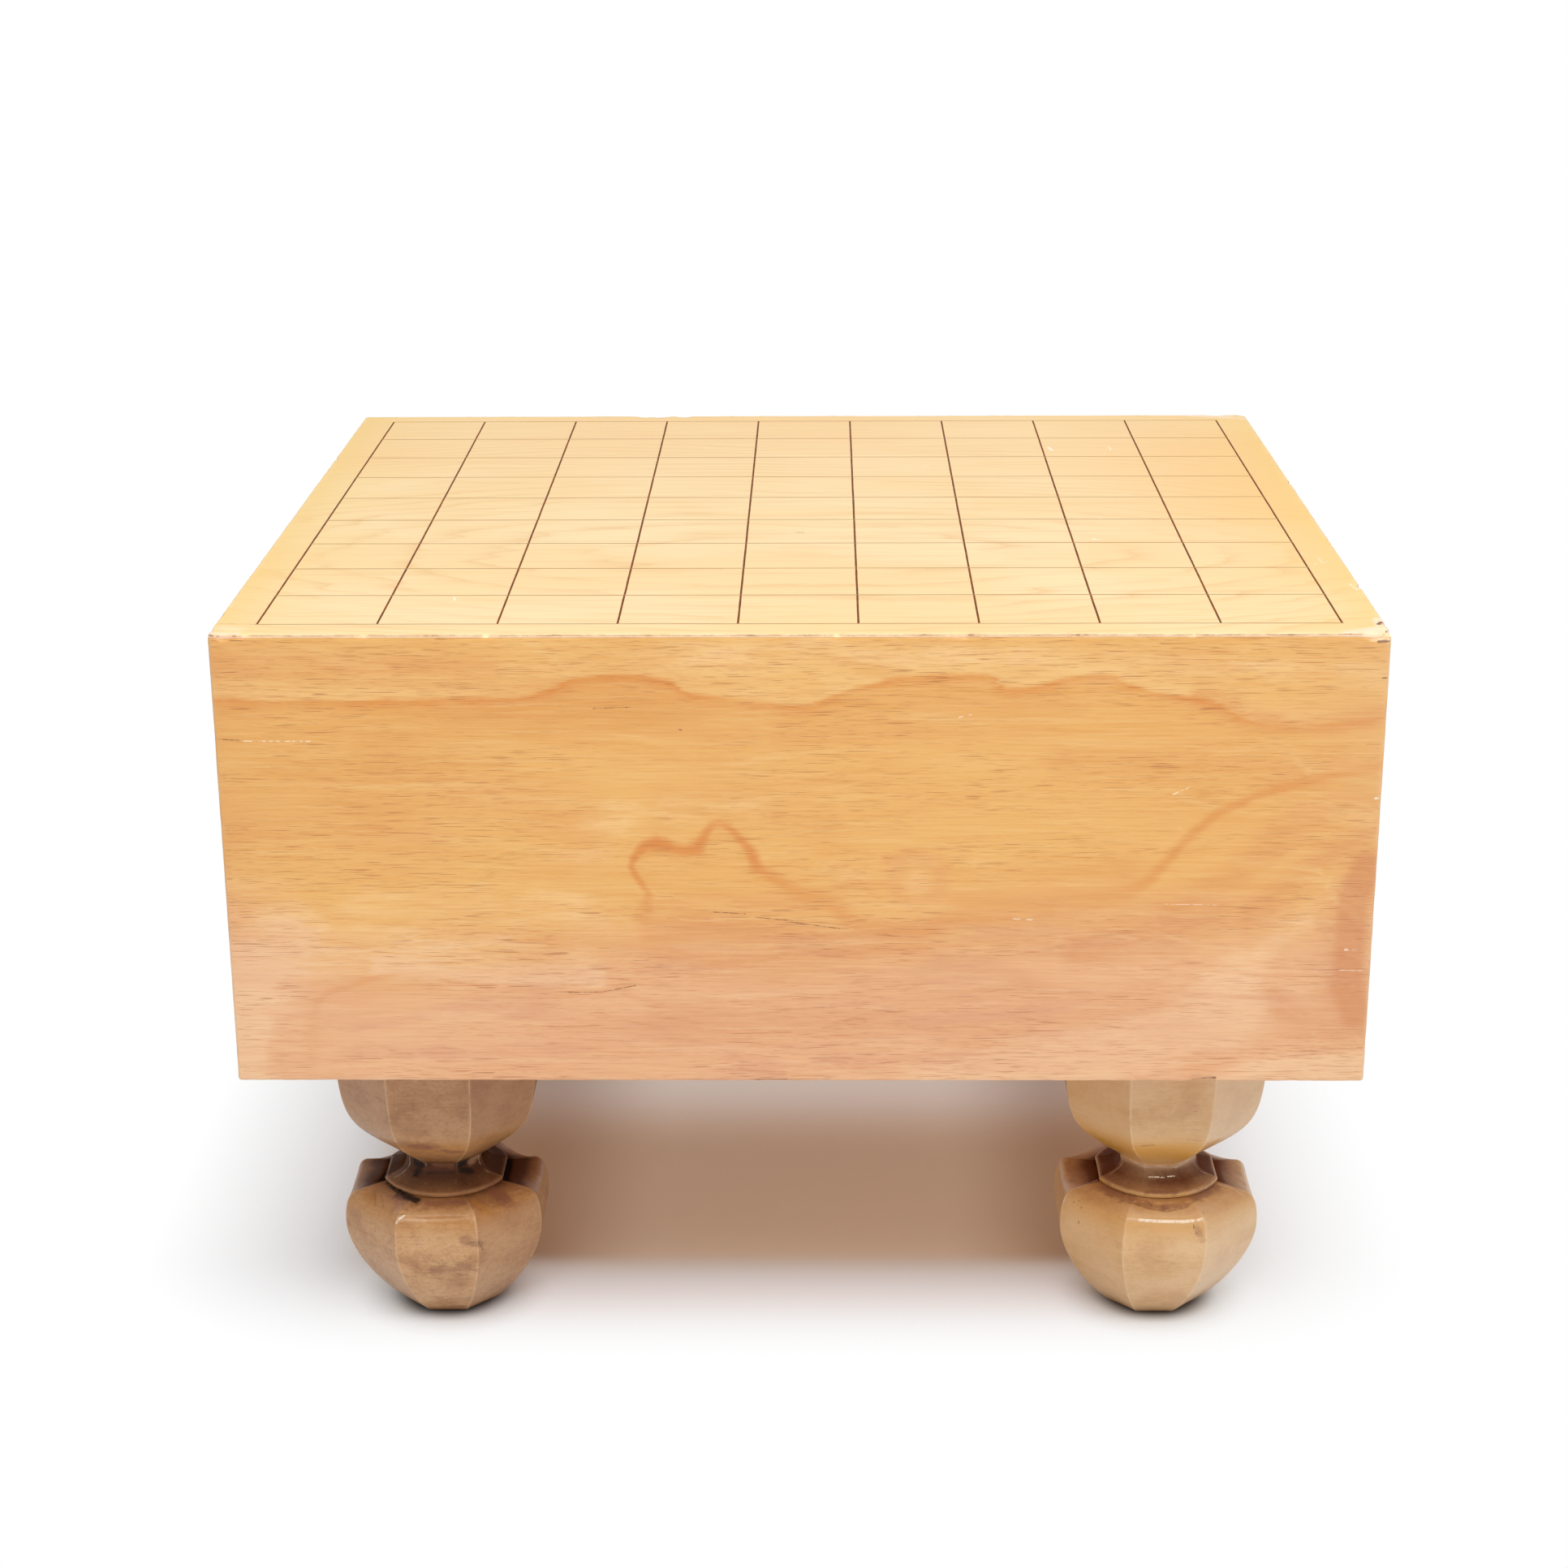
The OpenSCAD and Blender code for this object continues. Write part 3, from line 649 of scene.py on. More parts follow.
    # shine, lilac and arc marks are painted light: shine a painted highlight, lilac a painted highlight and
    # reflection of the white surroundings, arc a painted highlight along the edges where the turned collar
    # meets the flat faces
    drawn_tones = {"shine": (255, 240, 214), "arc": (182, 146, 122), "crumb": (104, 62, 48),
                   "lilac": (222, 198, 184), "brown": brown, "black": black}
    for tone_name, strength, width, path in marks_drawn:
        stroke = s.most(*[s.stroke(a, b, width, 0.3) for a, b in zip(path, path[1:])])
        s.paint(stroke * (broken * strength), drawn_tones[tone_name])
    height = streak * 0.4 + (grit * 0.35 - s.spread(scar, 0.7, 0.76) * 0.8)
    s.bump(height, 0.10, 0.5)
    rough = s.spread(grit, 0.3, 0.7, 0.27, 0.38) + dirt_and_shade * 0.30
    gloss = s.math("MULTIPLY_ADD", dirt_and_shade, -0.34, 0.28, clamp=True)
    shine = s.math("MULTIPLY_ADD", dirt_and_shade, -0.42, 0.45, clamp=True)
    return s.finish(rough, coat=gloss, coat_rough=0.10, specular=shine)


# Mesh helpers


class Form:
    """Points and faces in millimetres, welded where they meet."""

    def __init__(self):
        self.points, self.faces, self.marks = [], [], []

    def ring(self, points, marks=None):
        """Adds points, with their marks, and returns their numbers."""
        first = len(self.points)
        self.points += [tuple(p) for p in points]
        self.marks += list(marks) if marks is not None else [(0.0, 0.0, 0.0)] * len(points)
        return list(range(first, first + len(points)))

    def bridge(self, a, b, closed=True):
        """Adds the faces between two rings of as many points."""
        n = len(a)
        for i in range(n if closed else n - 1):
            j = (i + 1) % n
            self.faces.append((a[i], a[j], b[j], b[i]))

    def rise(self, levels):
        """Wall of the board through (z, inset) levels."""
        rings = [self.ring([(x, y, z) for x, y in outline(inset)]) for z, inset in levels]
        for a, b in zip(rings, rings[1:]):
            self.bridge(a, b)
        return rings

    def fill(self, border, holes, z, down=False, marks=(0.0, 0.0, 0.0)):
        """Flat cap inside the border and outside the holes, all lists of (x, y)."""
        flat, edges, first = [], [], 0
        for loop in [border, *holes]:
            flat += [Vector(p[:2]) for p in loop]
            edges += [(first + i, first + (i + 1) % len(loop)) for i in range(len(loop))]
            first += len(loop)
        points, _, faces, _, _, _ = geometry.delaunay_2d_cdt(flat, edges, [], 1, 1e-7)
        base = len(self.points)
        self.points += [(p.x, p.y, z) for p in points]
        self.marks += [marks] * len(points)
        for face in faces:
            centre = sum((points[i] for i in face), Vector((0, 0))) / len(face)
            if any(inside(centre, hole) for hole in holes):
                continue
            loop = [base + i for i in face]
            self.faces.append(tuple(reversed(loop)) if down else tuple(loop))

    def build(self, name, material, body, node, sharp, move=None, names=()):
        """Makes the visible piece. names are its point attributes; edges over sharp degrees stay sharp."""
        points = [move(Vector(p)) if move else Vector(p) for p in self.points]
        mesh = bpy.data.meshes.new(name)
        mesh.from_pydata([tuple(c * MM for c in p) for p in points], [], self.faces)
        for k, attribute in enumerate(names):
            layer = mesh.attributes.new(attribute, "FLOAT", "POINT")
            layer.data.foreach_set("value", [m[k] for m in self.marks])
        work = bmesh.new()
        work.from_mesh(mesh)
        bmesh.ops.remove_doubles(work, verts=work.verts, dist=2e-6)
        bmesh.ops.recalc_face_normals(work, faces=work.faces)
        for face in work.faces:
            face.smooth = True
        work.to_mesh(mesh)
        work.free()
        mesh.set_sharp_from_angle(angle=math.radians(sharp))
        mesh.materials.append(material)
        made = bpy.data.objects.new(name, mesh)
        bpy.context.scene.collection.objects.link(made)
        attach(made, body)
        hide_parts(node)


def inside(point, loop):
    """Whether a point lies in the box around a loop."""
    xs, ys = [p[0] for p in loop], [p[1] for p in loop]
    return min(xs) < point[0] < max(xs) and min(ys) < point[1] < max(ys)


def square(half, x=0.0, y=0.0, step=None):
    """Square loop around (x, y), with a point every step or at the corners only."""
    corners = [(-half, -half), (half, -half), (half, half), (-half, half)]
    out = []
    for i, (ax, ay) in enumerate(corners):
        bx, by = corners[(i + 1) % 4]
        n = 1 if step is None else max(1, round(2 * half / step))
        out += [(x + ax + (bx - ax) * k / n, y + ay + (by - ay) * k / n) for k in range(n)]
    return out


def outline(inset):
    """Board outline, drawn in by inset, with round corners; the point count never changes."""
    r = max(CORNER_R - inset, 0.05)
    out, ends = [], []
    for side_x, side_y, start in ((1, -1, -90), (1, 1, 0), (-1, 1, 90), (-1, -1, 180)):
        centre_x, centre_y = side_x * (HALF_W - inset - r), side_y * (HALF_D - inset - r)
        turns = [math.radians(start + 90 * k / CORNER_STEPS) for k in range(CORNER_STEPS + 1)]
        ends.append([(centre_x + r * math.cos(t), centre_y + r * math.sin(t)) for t in turns])
    for i, corner in enumerate(ends):
        begin, end = corner[-1], ends[(i + 1) % 4][0]
        n = round(2 * ((HALF_D if i % 2 == 0 else HALF_W) - CORNER_R))
        out += corner
        out += [(begin[0] + (end[0] - begin[0]) * k / n, begin[1] + (end[1] - begin[1]) * k / n)
                for k in range(1, n)]
    return out


def wave(p, size, seed=0.0):
    """Smooth noise from -1 to 1."""
    return noise.noise(Vector((p[0] / size + seed, p[1] / size - seed, p[2] / size + 2 * seed)))


# How far the wear reaches from an arris: at most, at the upper ones, at the lower ones.
WEAR_REACH, TOP_WEAR, LOW_WEAR = 12, 2.2, 2.0
# Worn corners as (x side, y side, how much is rubbed away) and chips as (x, y, z, radius, depth).
CORNERS = [(-1, -1, 1.3), (1, -1, 1.1), (1, 1, 2.7), (-1, 1, 1.7)]
CHIPS = [
    (50.5, -166.5, 258, 3.2, 0.6), (47.5, -166.5, 257.8, 2.0, 0.4), (84.5, -166.5, 258, 1.6, 0.4),
    (176.5, -166.5, 257.8, 3.6, 1.0), (180.5, -164, 258, 3.4, 0.9), (182, -156, 258, 3.0, 0.3),
    (-177, -166.5, 257.8, 3.5, 0.7), (-171, -166.5, 258, 2.5, 0.5), (-182, -160, 258, 3.2, 0.25),
    (182, -110, 258, 3.2, 0.45), (-134, -166.5, 258, 2.2, 0.6), (-60, 166.5, 258, 5.0, 0.8),
    (-50, 166.5, 258, 4.0, 0.8), (-66, 166.5, 258, 4.0, 0.7), (170, 166.5, 258, 4.0, 0.5),
    (128, -166.5, 108.4, 2.6, 1.0), (132, -166.5, 108.2, 2.2, 0.9), (181, -166.5, 205, 2.0, 0.5),
    (-96, -166.5, 258, 1.6, 0.5), (12, -166.5, 258, 1.5, 0.45), (121, -166.5, 258, 2.0, 0.5),
    (182, 40, 258, 3.0, 0.6), (-182, 85, 258, 2.6, 0.6), (-182, 20, 108, 3.0, 0.8),
    (182, 90, 108, 3.0, 0.8),
]


def worn(p):
    """Moves a point of the board inward where its arrises, corners and chips are worn."""
    out = p.copy()
    side_x, side_y = math.copysign(1, p.x), math.copysign(1, p.y)
    to_end, to_side = HALF_W - abs(p.x), HALF_D - abs(p.y)
    near = min(to_end, to_side)
    if near > WEAR_REACH:
        return out
    outward = Vector((side_x if to_end < to_side + 0.4 else 0, side_y if to_side < to_end + 0.4 else 0, 0))
    outward.normalize()
    top = PLAY_Z - p.z
    away = math.hypot(near, top)
    if away < TOP_WEAR:
        rough = 0.10 if to_end < to_side else 0.22
        plain = 0.50 if p.y > 0 and to_side < to_end else 0.10
        ragged = max(0.0, plain + rough * (wave(p, 2.3, 3) + wave(p, 9, 5)))
        out -= (outward + Vector((0, 0, 0.7))) * ragged * (1 - away / TOP_WEAR)
    low = p.z - LEG_H
    away = math.hypot(near, low)
    if away < LOW_WEAR:
        ragged = max(0.0, 0.04 + 0.16 * wave(p, 3.0, 7) + 0.16 * wave(p, 12, 9))
        out -= (outward - Vector((0, 0, 0.5))) * ragged * (1 - away / LOW_WEAR)
    for sx, sy, cut in CORNERS:
        if sx == side_x and sy == side_y:
            normal = Vector((sx, sy, 1.15)).normalized()
            corner = Vector((sx * HALF_W, sy * HALF_D, PLAY_Z))
            over = (out - corner).dot(normal) + cut * (1 + 0.35 * wave(p, 3.0, 11))
            if over > 0:
                out -= normal * over
    if to_end < 3 and to_side < 3 and low > 3 and top > 3:
        out -= outward * max(0.0, 0.04 + 0.12 * wave(p, 6, 13))
    for cx, cy, cz, radius, depth in CHIPS:
        gap = Vector((p.x - cx, p.y - cy, p.z - cz))
        gap.z *= 1.6
        share = gap.length / radius
        if share < 1:
            inward = Vector((-cx if abs(cx) > HALF_W - 3 else 0, -cy if abs(cy) > HALF_D - 3 else 0, 0))
            inward.normalize()
            inward.z = -0.8 if cz > 200 else 0.5
            push = depth * (1 - share * share) * (0.75 + 0.5 * wave(p, 1.3, 17))
            out += inward * push
    return out


# The board


def off_path(places, path):
    """Distance of each (x, z) place from a path, with the nearest segment and how far along it."""
    best = np.full(len(places), 1e9)
    segment, along = np.zeros(len(places), int), np.zeros(len(places))
    for k, (a, b) in enumerate(zip(path, path[1:])):
        a, step = np.array(a[:2]), np.array(b[:2]) - np.array(a[:2])
        t = np.clip(((places - a) @ step) / (step @ step), 0, 1)
        away = np.linalg.norm(places - a - t[:, None] * step, axis=1)
        nearer = away < best
        best[nearer], segment[nearer], along[nearer] = away[nearer], k, t[nearer]
    return best, segment, along


def front_marks(points):
    """Signed distance to the drawn growth line, its darkness and width, and the pale and rosy tints."""
    places = points[:, [0, 2]]
    away, segment, along = off_path(places, FIGURE)
    values = np.array([node[2:] for node in FIGURE])
    drawn = values[segment] * (1 - along[:, None]) + values[segment + 1] * along[:, None]
    below = np.zeros(len(places), bool)
    closed = [*FIGURE, (200, -50), (-170, -50)]
    for a, b in zip(closed, closed[1:] + closed[:1]):
        (ax, az), (bx, bz) = a[:2], b[:2]
        if az != bz:
            crosses = (az > places[:, 1]) != (bz > places[:, 1])
            at = ax + (places[:, 1] - az) / (bz - az) * (bx - ax)
            below ^= crosses & (places[:, 0] < at)
    tints = {"pale": np.zeros(len(places)), "rosy": np.zeros(len(places))}
    for kind, reach, strength, path in TINTS:
        share = np.clip(1 - off_path(places, path)[0] / reach, 0, 1)
        tints[kind] = np.maximum(tints[kind], strength * share * share * (3 - 2 * share))
    front = points[:, 1] < -HALF_D + 1.5
    table = np.stack([np.where(below, away, -away), drawn[:, 0], drawn[:, 1], tints["pale"] * front,
                      tints["rosy"] * front], axis=1)
    return table.tolist()


# Levels of the block's mesh, as (height over the lower edge or depth under the upper one, inset).
LOW_LEVELS = [(0, 0.8), (0.1, 0.45), (0.3, 0.2), (0.55, 0.06)]
LOW_LEVELS += [(rise, 0.0) for rise in (0.9, 1.6, 2.6, 4, 7)]
TOP_LEVELS = [(drop, 0.0) for drop in (8, 4.5, 2.8, 1.8, 1.1, 0.6)] + [(0.25, 0.02), (0, 0.10)]
WALL_FIRST, WALL_STEP, WALL_LEVELS = 9.4, 2.4, 55
# Insets of the rings around the flat middle of the underside and of the playing face.
UNDER_INSETS = (1.6, 3.0)
PLAY_INSETS = (0.8, 1.3, 2.0, 3.0, 4.5, 7.0)
# Levels of the sheet, as (height over its lower face, inset).
SHEET_LEVELS = [(0, 0.08), (0.1, 0.0), (0.4, 0.0), (0.65, 0.03), (0.82, 0.10), (0.93, 0.22), (1.0, 0.42)]


def make_block(material):
    """Solid block: rounded upright edges, softened lower edge, four mortises and the stepped hollow."""
    form = Form()
    levels = [(LEG_H + rise, inset) for rise, inset in LOW_LEVELS]
    levels += [(LEG_H + WALL_FIRST + WALL_STEP * k, 0.0) for k in range(WALL_LEVELS)]
    levels += [(BLOCK_TOP - drop, inset) for drop, inset in TOP_LEVELS]
    rings = form.rise(levels)
    previous = rings[0]
    for inset in UNDER_INSETS:
        inner = form.ring([(x, y, LEG_H) for x, y in outline(inset)])
        form.bridge(inner, previous)
        previous = inner
    holes = [square(MORTISE_W / 2, x, y) for x in (-LEG_X, LEG_X) for y in (-LEG_Y, LEG_Y)]
    navel, island = square(NAVEL_W / 2, step=7), square(ISLAND_W / 2, step=2.8)
    form.fill(outline(UNDER_INSETS[-1]), [*holes, navel], LEG_H, down=True)
    form.fill(outline(TOP_LEVELS[-1][1]), [], BLOCK_TOP)
    for hole in holes:
        foot = form.ring([(x, y, LEG_H) for x, y in hole])
        head = form.ring([(x, y, LEG_H + MORTISE_H) for x, y in hole])
        form.bridge(head, foot)
        form.fill(hole, [], LEG_H + MORTISE_H, down=True)
    bottom = LEG_H + NAVEL_D
    foot = square(ISLAND_BASE / 2, step=5.6)
    loops = [(navel, LEG_H), (navel, bottom), (foot, bottom), (island, LEG_H + ISLAND_D)]
    steps = [form.ring([(x, y, z) for x, y in loop]) for loop, z in loops]
    for a, b in zip(steps, steps[1:]):
        form.bridge(b, a)
    form.fill(island, [], LEG_H + ISLAND_D, down=True)
    form.marks = front_marks(np.array(form.points))
    form.build("board_block", material, "board", "block", sharp=40, move=worn,
               names=("figure", "shade", "girth", "pale", "rosy"))


def make_sheet(material):
    """Thin sheet glued over the block, its upper arris rounded and broken by wear."""
    form = Form()
    levels = [(BLOCK_TOP + rise, inset) for rise, inset in SHEET_LEVELS]
    form.rise(levels + [(PLAY_Z, inset) for inset in PLAY_INSETS])
    form.fill(outline(PLAY_INSETS[-1]), [], PLAY_Z)
    form.fill(outline(SHEET_LEVELS[0][1]), [], BLOCK_TOP, down=True)
    form.build("board_sheet", material, "board", "top_sheet", sharp=50, move=worn)


def make_lines(name, node, material, strokes, width, height):
    """Low rounded strokes of lacquer. strokes are ((x, y) start, (x, y) end)."""
    form = Form()
    rim = [(0.5, -0.03), (0.44, height * 0.5), (0.25, height * 0.85)]
    section = [(-c, h) for c, h in rim] + [(0.0, height)] + rim[::-1]
    for k, (start, end) in enumerate(strokes):
        a, b = Vector(start), Vector(end)
        along = (b - a).normalized()
        across = Vector((-along.y, along.x))
        n = max(2, round((b - a).length / LINE_STEP))
        rings = []
        for i in range(n + 1):
            spot = a + (b - a) * i / n
            at = (spot.x, spot.y, 0)
            wide = width * (0.97 + 0.12 * wave(at, 5, k))
            aside = 0.05 * wave(at, 16, k + 0.5)
            tall = 1.0 if 0 < i < n else 0.7
            lift = tall * (0.94 + 0.06 * wave(at, 4, k + 9))
            rings.append(form.ring([
                (spot.x + across.x * (c * wide + aside), spot.y + across.y * (c * wide + aside),
                 PLAY_Z + (h * lift if h > 0 else h)) for c, h in section]))
        for p, q in zip(rings, rings[1:]):
            form.bridge(p, q, closed=False)
        form.faces.append(tuple(reversed(rings[0])))
        form.faces.append(tuple(rings[-1]))
    form.build(name, material, "board", node, sharp=60)


# The legs

FOOT_R, BULB_R, SHOULDER_R, ROOT_R, RIM_R, NECK_R, CUP_R = 14.5, 33.9, 30.2, 18.8, 20.4, 13.0, 34.5
BULB_Z, SHOULDER_Z, ROOT_Z, RIM_Z, NECK_Z, CUP_Z = 34.5, 45.9, 47.6, 49.1, 55.0, 56.3


def bend(a, b, c, d, steps):
    """Points of a cubic curve from a to d, without a."""
    out = []
    for i in range(1, steps + 1):
        t = i / steps
        w = ((1 - t) ** 3, 3 * (1 - t) ** 2 * t, 3 * (1 - t) * t * t, t ** 3)
        out.append(tuple(sum(w[k] * p[j] for k, p in enumerate((a, b, c, d))) for j in (0, 1)))
    return out


LEG_SIDE = (
    [(FOOT_R - 0.6, 0.0), (FOOT_R - 0.1, 0.15)]
    + bend((FOOT_R + 0.2, 0.3), (24.6, 8.6), (BULB_R, 24.3), (BULB_R, BULB_Z), 26)
    + bend((BULB_R, BULB_Z), (BULB_R, 41.3), (32.9, 44.8), (SHOULDER_R, SHOULDER_Z), 14)
    + [(27.0, 46.45), (23.5, 46.95), (20.6, 47.4), (ROOT_R, ROOT_Z - 0.05), (ROOT_R + 0.02, ROOT_Z + 0.03),
       (RIM_R - 0.35, ROOT_Z + 0.06), (RIM_R - 0.08, ROOT_Z + 0.18), (RIM_R, ROOT_Z + 0.45),
       (RIM_R, RIM_Z - 0.4), (RIM_R - 0.1, RIM_Z - 0.12), (RIM_R - 0.35, RIM_Z)]
    + bend((RIM_R - 0.35, RIM_Z), (16.4, RIM_Z + 0.9), (NECK_R, RIM_Z + 2.1), (NECK_R, NECK_Z), 12)
    + [(NECK_R, CUP_Z)]
    + bend((NECK_R, CUP_Z), (33.4, 72.2), (33.4, 72.2), (CUP_R, LEG_H), 30)
)
# How round the ridges are at each height, as (height, radius).
RIDGE_ROUND = [
    (0, 0.8), (6, 0.5), (34, 0.4), (45, 0.5), (46.6, 1.2), (47.6, 0.6), (51.0, 0.6), (57.0, 0.8),
    (64, 0.6), (108, 0.4),
]
# How far the front and back of the collar keep the turned circle, as (height, share).
TURNED = [
    (46.0, 0.0), (47.0, 0.6), (47.5, 1.0), (53.0, 1.0), (55.0, 0.6), (56.3, 0.4), (57.5, 0.0),
]
# The shoulder dips between its ridges and leans outward, as (height, share).
DIP = [
    (36, 0.0), (42, 0.55), (45.9, 1.0), (46.45, 0.75), (46.95, 0.4), (47.4, 0.1), (47.5, 0.0),
]
# Where the lacquer has pooled and looks yellow, as (height, strength).
POOL = [
    (0, 0.0), (36, 0.0), (42, 0.55), (45.5, 0.35), (46.5, 0.1), (47.55, 0.9), (48.9, 0.8), (49.2, 0.1),
    (54, 0.1), (57, 0.8), (61, 1.1), (68, 1.0), (72, 0.6), (77, 0.1), (108, 0.0),
]
# Dirt and painted shade of a clean and of a soiled leg, as (height, strength). The darkening at the foot and
# in the hollows under the rim and around the neck is painted shade, and the soiled leg carries real soiling
# too.
CLEAN_DIRT_AND_SHADE = [
    (0, 0.45), (1.2, 0.15), (5, 0.0), (44, 0.0), (45.9, 0.08), (46.5, 0.16), (47.0, 0.26), (47.4, 0.45),
    (47.7, 0.18), (48.9, 0.14), (49.3, 0.50), (51, 0.72), (54, 0.62), (55.5, 0.34), (56.6, 0.08),
    (58.5, 0.0), (70, 0.0), (108, 0.0),
]
SOILED_DIRT_AND_SHADE = [
    (0, 0.7), (2, 0.3), (8, 0.05), (43, 0.05), (45.9, 0.16), (46.5, 0.26), (47.0, 0.36), (47.4, 0.60),
    (47.7, 0.36), (48.9, 0.40), (49.3, 0.60), (52, 0.85), (55, 0.92), (57, 0.60), (61, 0.30), (70, 0.10),
    (108, 0.15),
]
FACET_SPOTS = (-1.0, -0.95, -0.8, -0.45, 0.0, 0.45, 0.8, 0.95, 1.0)
# For each of the eight faces, from the front one on to the right: soiling and painted shade on the shoulder,
# heaviest on the side faces, which stand in shade; how far it dips.
FACET_DIRT_AND_SHADE = (0.85, 1.0, 2.8, 2.0, 1.5, 2.0, 2.8, 1.0)
FACET_DIP = (0.35, 0.8, 0.8, 1.4, 1.0, 1.4, 0.8, 0.8)
# The points of each round ridge, and how much wear and painted highlight they carry.
RIDGE_RUB_AND_HIGHLIGHT = (0.75, 1.0, 0.75)


def level(table, z):
    """Value of a (height, value) table at height z."""
    return float(np.interp(z, [t[0] for t in table], [t[1] for t in table]))


def add_tenon(form, x, y):
    """Square tenon on the leg's head, with a bevel at its end."""
    half, end = TENON_W / 2, LEG_H + TENON_H
    steps = [(half, LEG_H), (half, LEG_H + 8), (half, end - TENON_BEVEL), (half - TENON_BEVEL, end)]
    rings = [form.ring([(px, py, z) for px, py in square(width, x, y)]) for width, z in steps]
    for a, b in zip(rings, rings[1:]):
        form.bridge(a, b)
    form.fill(square(half - TENON_BEVEL, x, y), [], end)


def facet_points(k, r, z, seed):
    """Points of face k at one height and of the ridge on its right, as (place off the leg's axis, how far
    the shoulder falls there, face number, how much wear and painted highlight it carries); a ridge's number
    ends in a half."""
    round_r, turned = level(RIDGE_ROUND, z), level(TURNED, z)
    corner = 1 / math.cos(math.pi / 8)
    circle = r * corner - 0.05
    turn = math.radians(45 * k - 90)
    out = Vector((math.cos(turn), math.sin(turn)))
    across = Vector((-out.y, out.x))
    hollow = 0.20 * wave((k * 7.7, seed * 5.1, z), 18, seed)
    half = (r - round_r) * math.tan(math.pi / 8)
    found = []
    for aside in FACET_SPOTS:
        away = r + hollow * (1 - aside * aside) + 0.08 * wave((k * 3 + aside, z, seed), 6, seed)
        p = out * away + across * (half * aside)
        p = p.lerp(p.normalized() * circle, turned if k not in (2, 6) else 0.0)
        fall = level(DIP, z) * (aside * aside - 1) * FACET_DIP[k]
        found.append((p, fall, k, 0.30 * (1 - turned) if abs(aside) == 1 else 0.0))
    centre_turn = turn + math.pi / 8
    centre = Vector((math.cos(centre_turn), math.sin(centre_turn))) * ((r - round_r) * corner)
    turned = turned if k in (0, 3, 4, 7) else 0.0
    for i, rub_and_highlight in enumerate(RIDGE_RUB_AND_HIGHLIGHT, 1):
        t = turn + math.pi / 4 * i / (len(RIDGE_RUB_AND_HIGHLIGHT) + 1)
        p = centre + Vector((math.cos(t), math.sin(t))) * round_r
        p = p.lerp(p.normalized() * circle, turned)
        found.append((p, 0.0, k + 0.5, rub_and_highlight * (1 - turned * 0.9)))
    return found


def make_leg(spot, side_x, side_y, material, grime, seed, lean_top, lean_foot, dip, cup_yellow_rim_shine):
    """One carved leg: eight faces that follow one curve, cut by hand, and the square tenon on top."""
    form = Form()
    rings = []
    x, y = side_x * LEG_X, side_y * LEG_Y
    for r, z in LEG_SIDE:
        turned, dips = level(TURNED, z), level(DIP, z)
        shift_x = lean_foot + (lean_top - lean_foot) * z / LEG_H
        pool = level(POOL, z) * (cup_yellow_rim_shine if z > 50 else 1.0)
        spots, data = [], []
        for p, fall, k, rub_and_highlight in (point for k in range(8) for point in facet_points(k, r, z, seed)):
            patch = 0.5 + 0.5 * wave((p.x, p.y, z), 9, seed + 2)
            # soiling and painted shade per face: heaviest on the side faces, which stand in shade
            soil_and_shade = (FACET_DIRT_AND_SHADE[int(k)] + FACET_DIRT_AND_SHADE[int(k + 0.5) % 8]) / 2
            soil_and_shade = soil_and_shade if 40 < z < 48 else 0.75 + 0.25 * soil_and_shade
            rub_and_highlight *= 1 - 0.6 * turned
            # painted highlights: a pale line on the rim's upper edge and on the shoulder edge of the front
            # face
            if RIM_Z - 0.2 < z <= RIM_Z:
                rub_and_highlight = max(rub_and_highlight, 0.40 * cup_yellow_rim_shine)
            if k == 0 and 45.4 < z < 46.0:
                rub_and_highlight = max(rub_and_highlight, 0.55)
            dirt_and_shade = level(grime, z) * soil_and_shade * (0.75 + 0.5 * patch)
            data.append((rub_and_highlight, dirt_and_shade, pool * (0.5 + 0.8 * patch)))
            tilt = -0.5 * side_x * p.x / 30 * dips
            spots.append((x + p.x + shift_x, y + p.y, z + dip * fall + tilt if z > 20 else z))
        rings.append(form.ring(spots, data))
    for a, b in zip(rings, rings[1:]):
        form.bridge(a, b)
    foot = [form.points[i][:2] for i in rings[0]]
    head = [form.points[i][:2] for i in rings[-1]]
    # the sole and the head get painted shade through the same mark
    form.fill(foot, [], 0.0, down=True, marks=(0.0, 0.35, 0.0))
    form.fill(head, [square(TENON_W / 2, x, y)], LEG_H, marks=(0.0, 0.1, 0.0))
    add_tenon(form, x, y)
    form.build(f"leg_{spot}_carved", material, f"{spot}_leg", f"leg_{spot}", sharp=38,
               names=("ridge", "dirt_and_shade", "pool"))


# Tones of the legs: plain, pale, yellow, brown, deep and black.
LIGHT_TONE = ((217, 170, 116), (236, 204, 162), (214, 156, 74), (168, 118, 84),
              (108, 60, 34), (60, 38, 28))
DARK_TONE = ((196, 145, 95), (226, 186, 140), (190, 132, 62), (142, 93, 60),
             (88, 53, 34), (38, 28, 24))
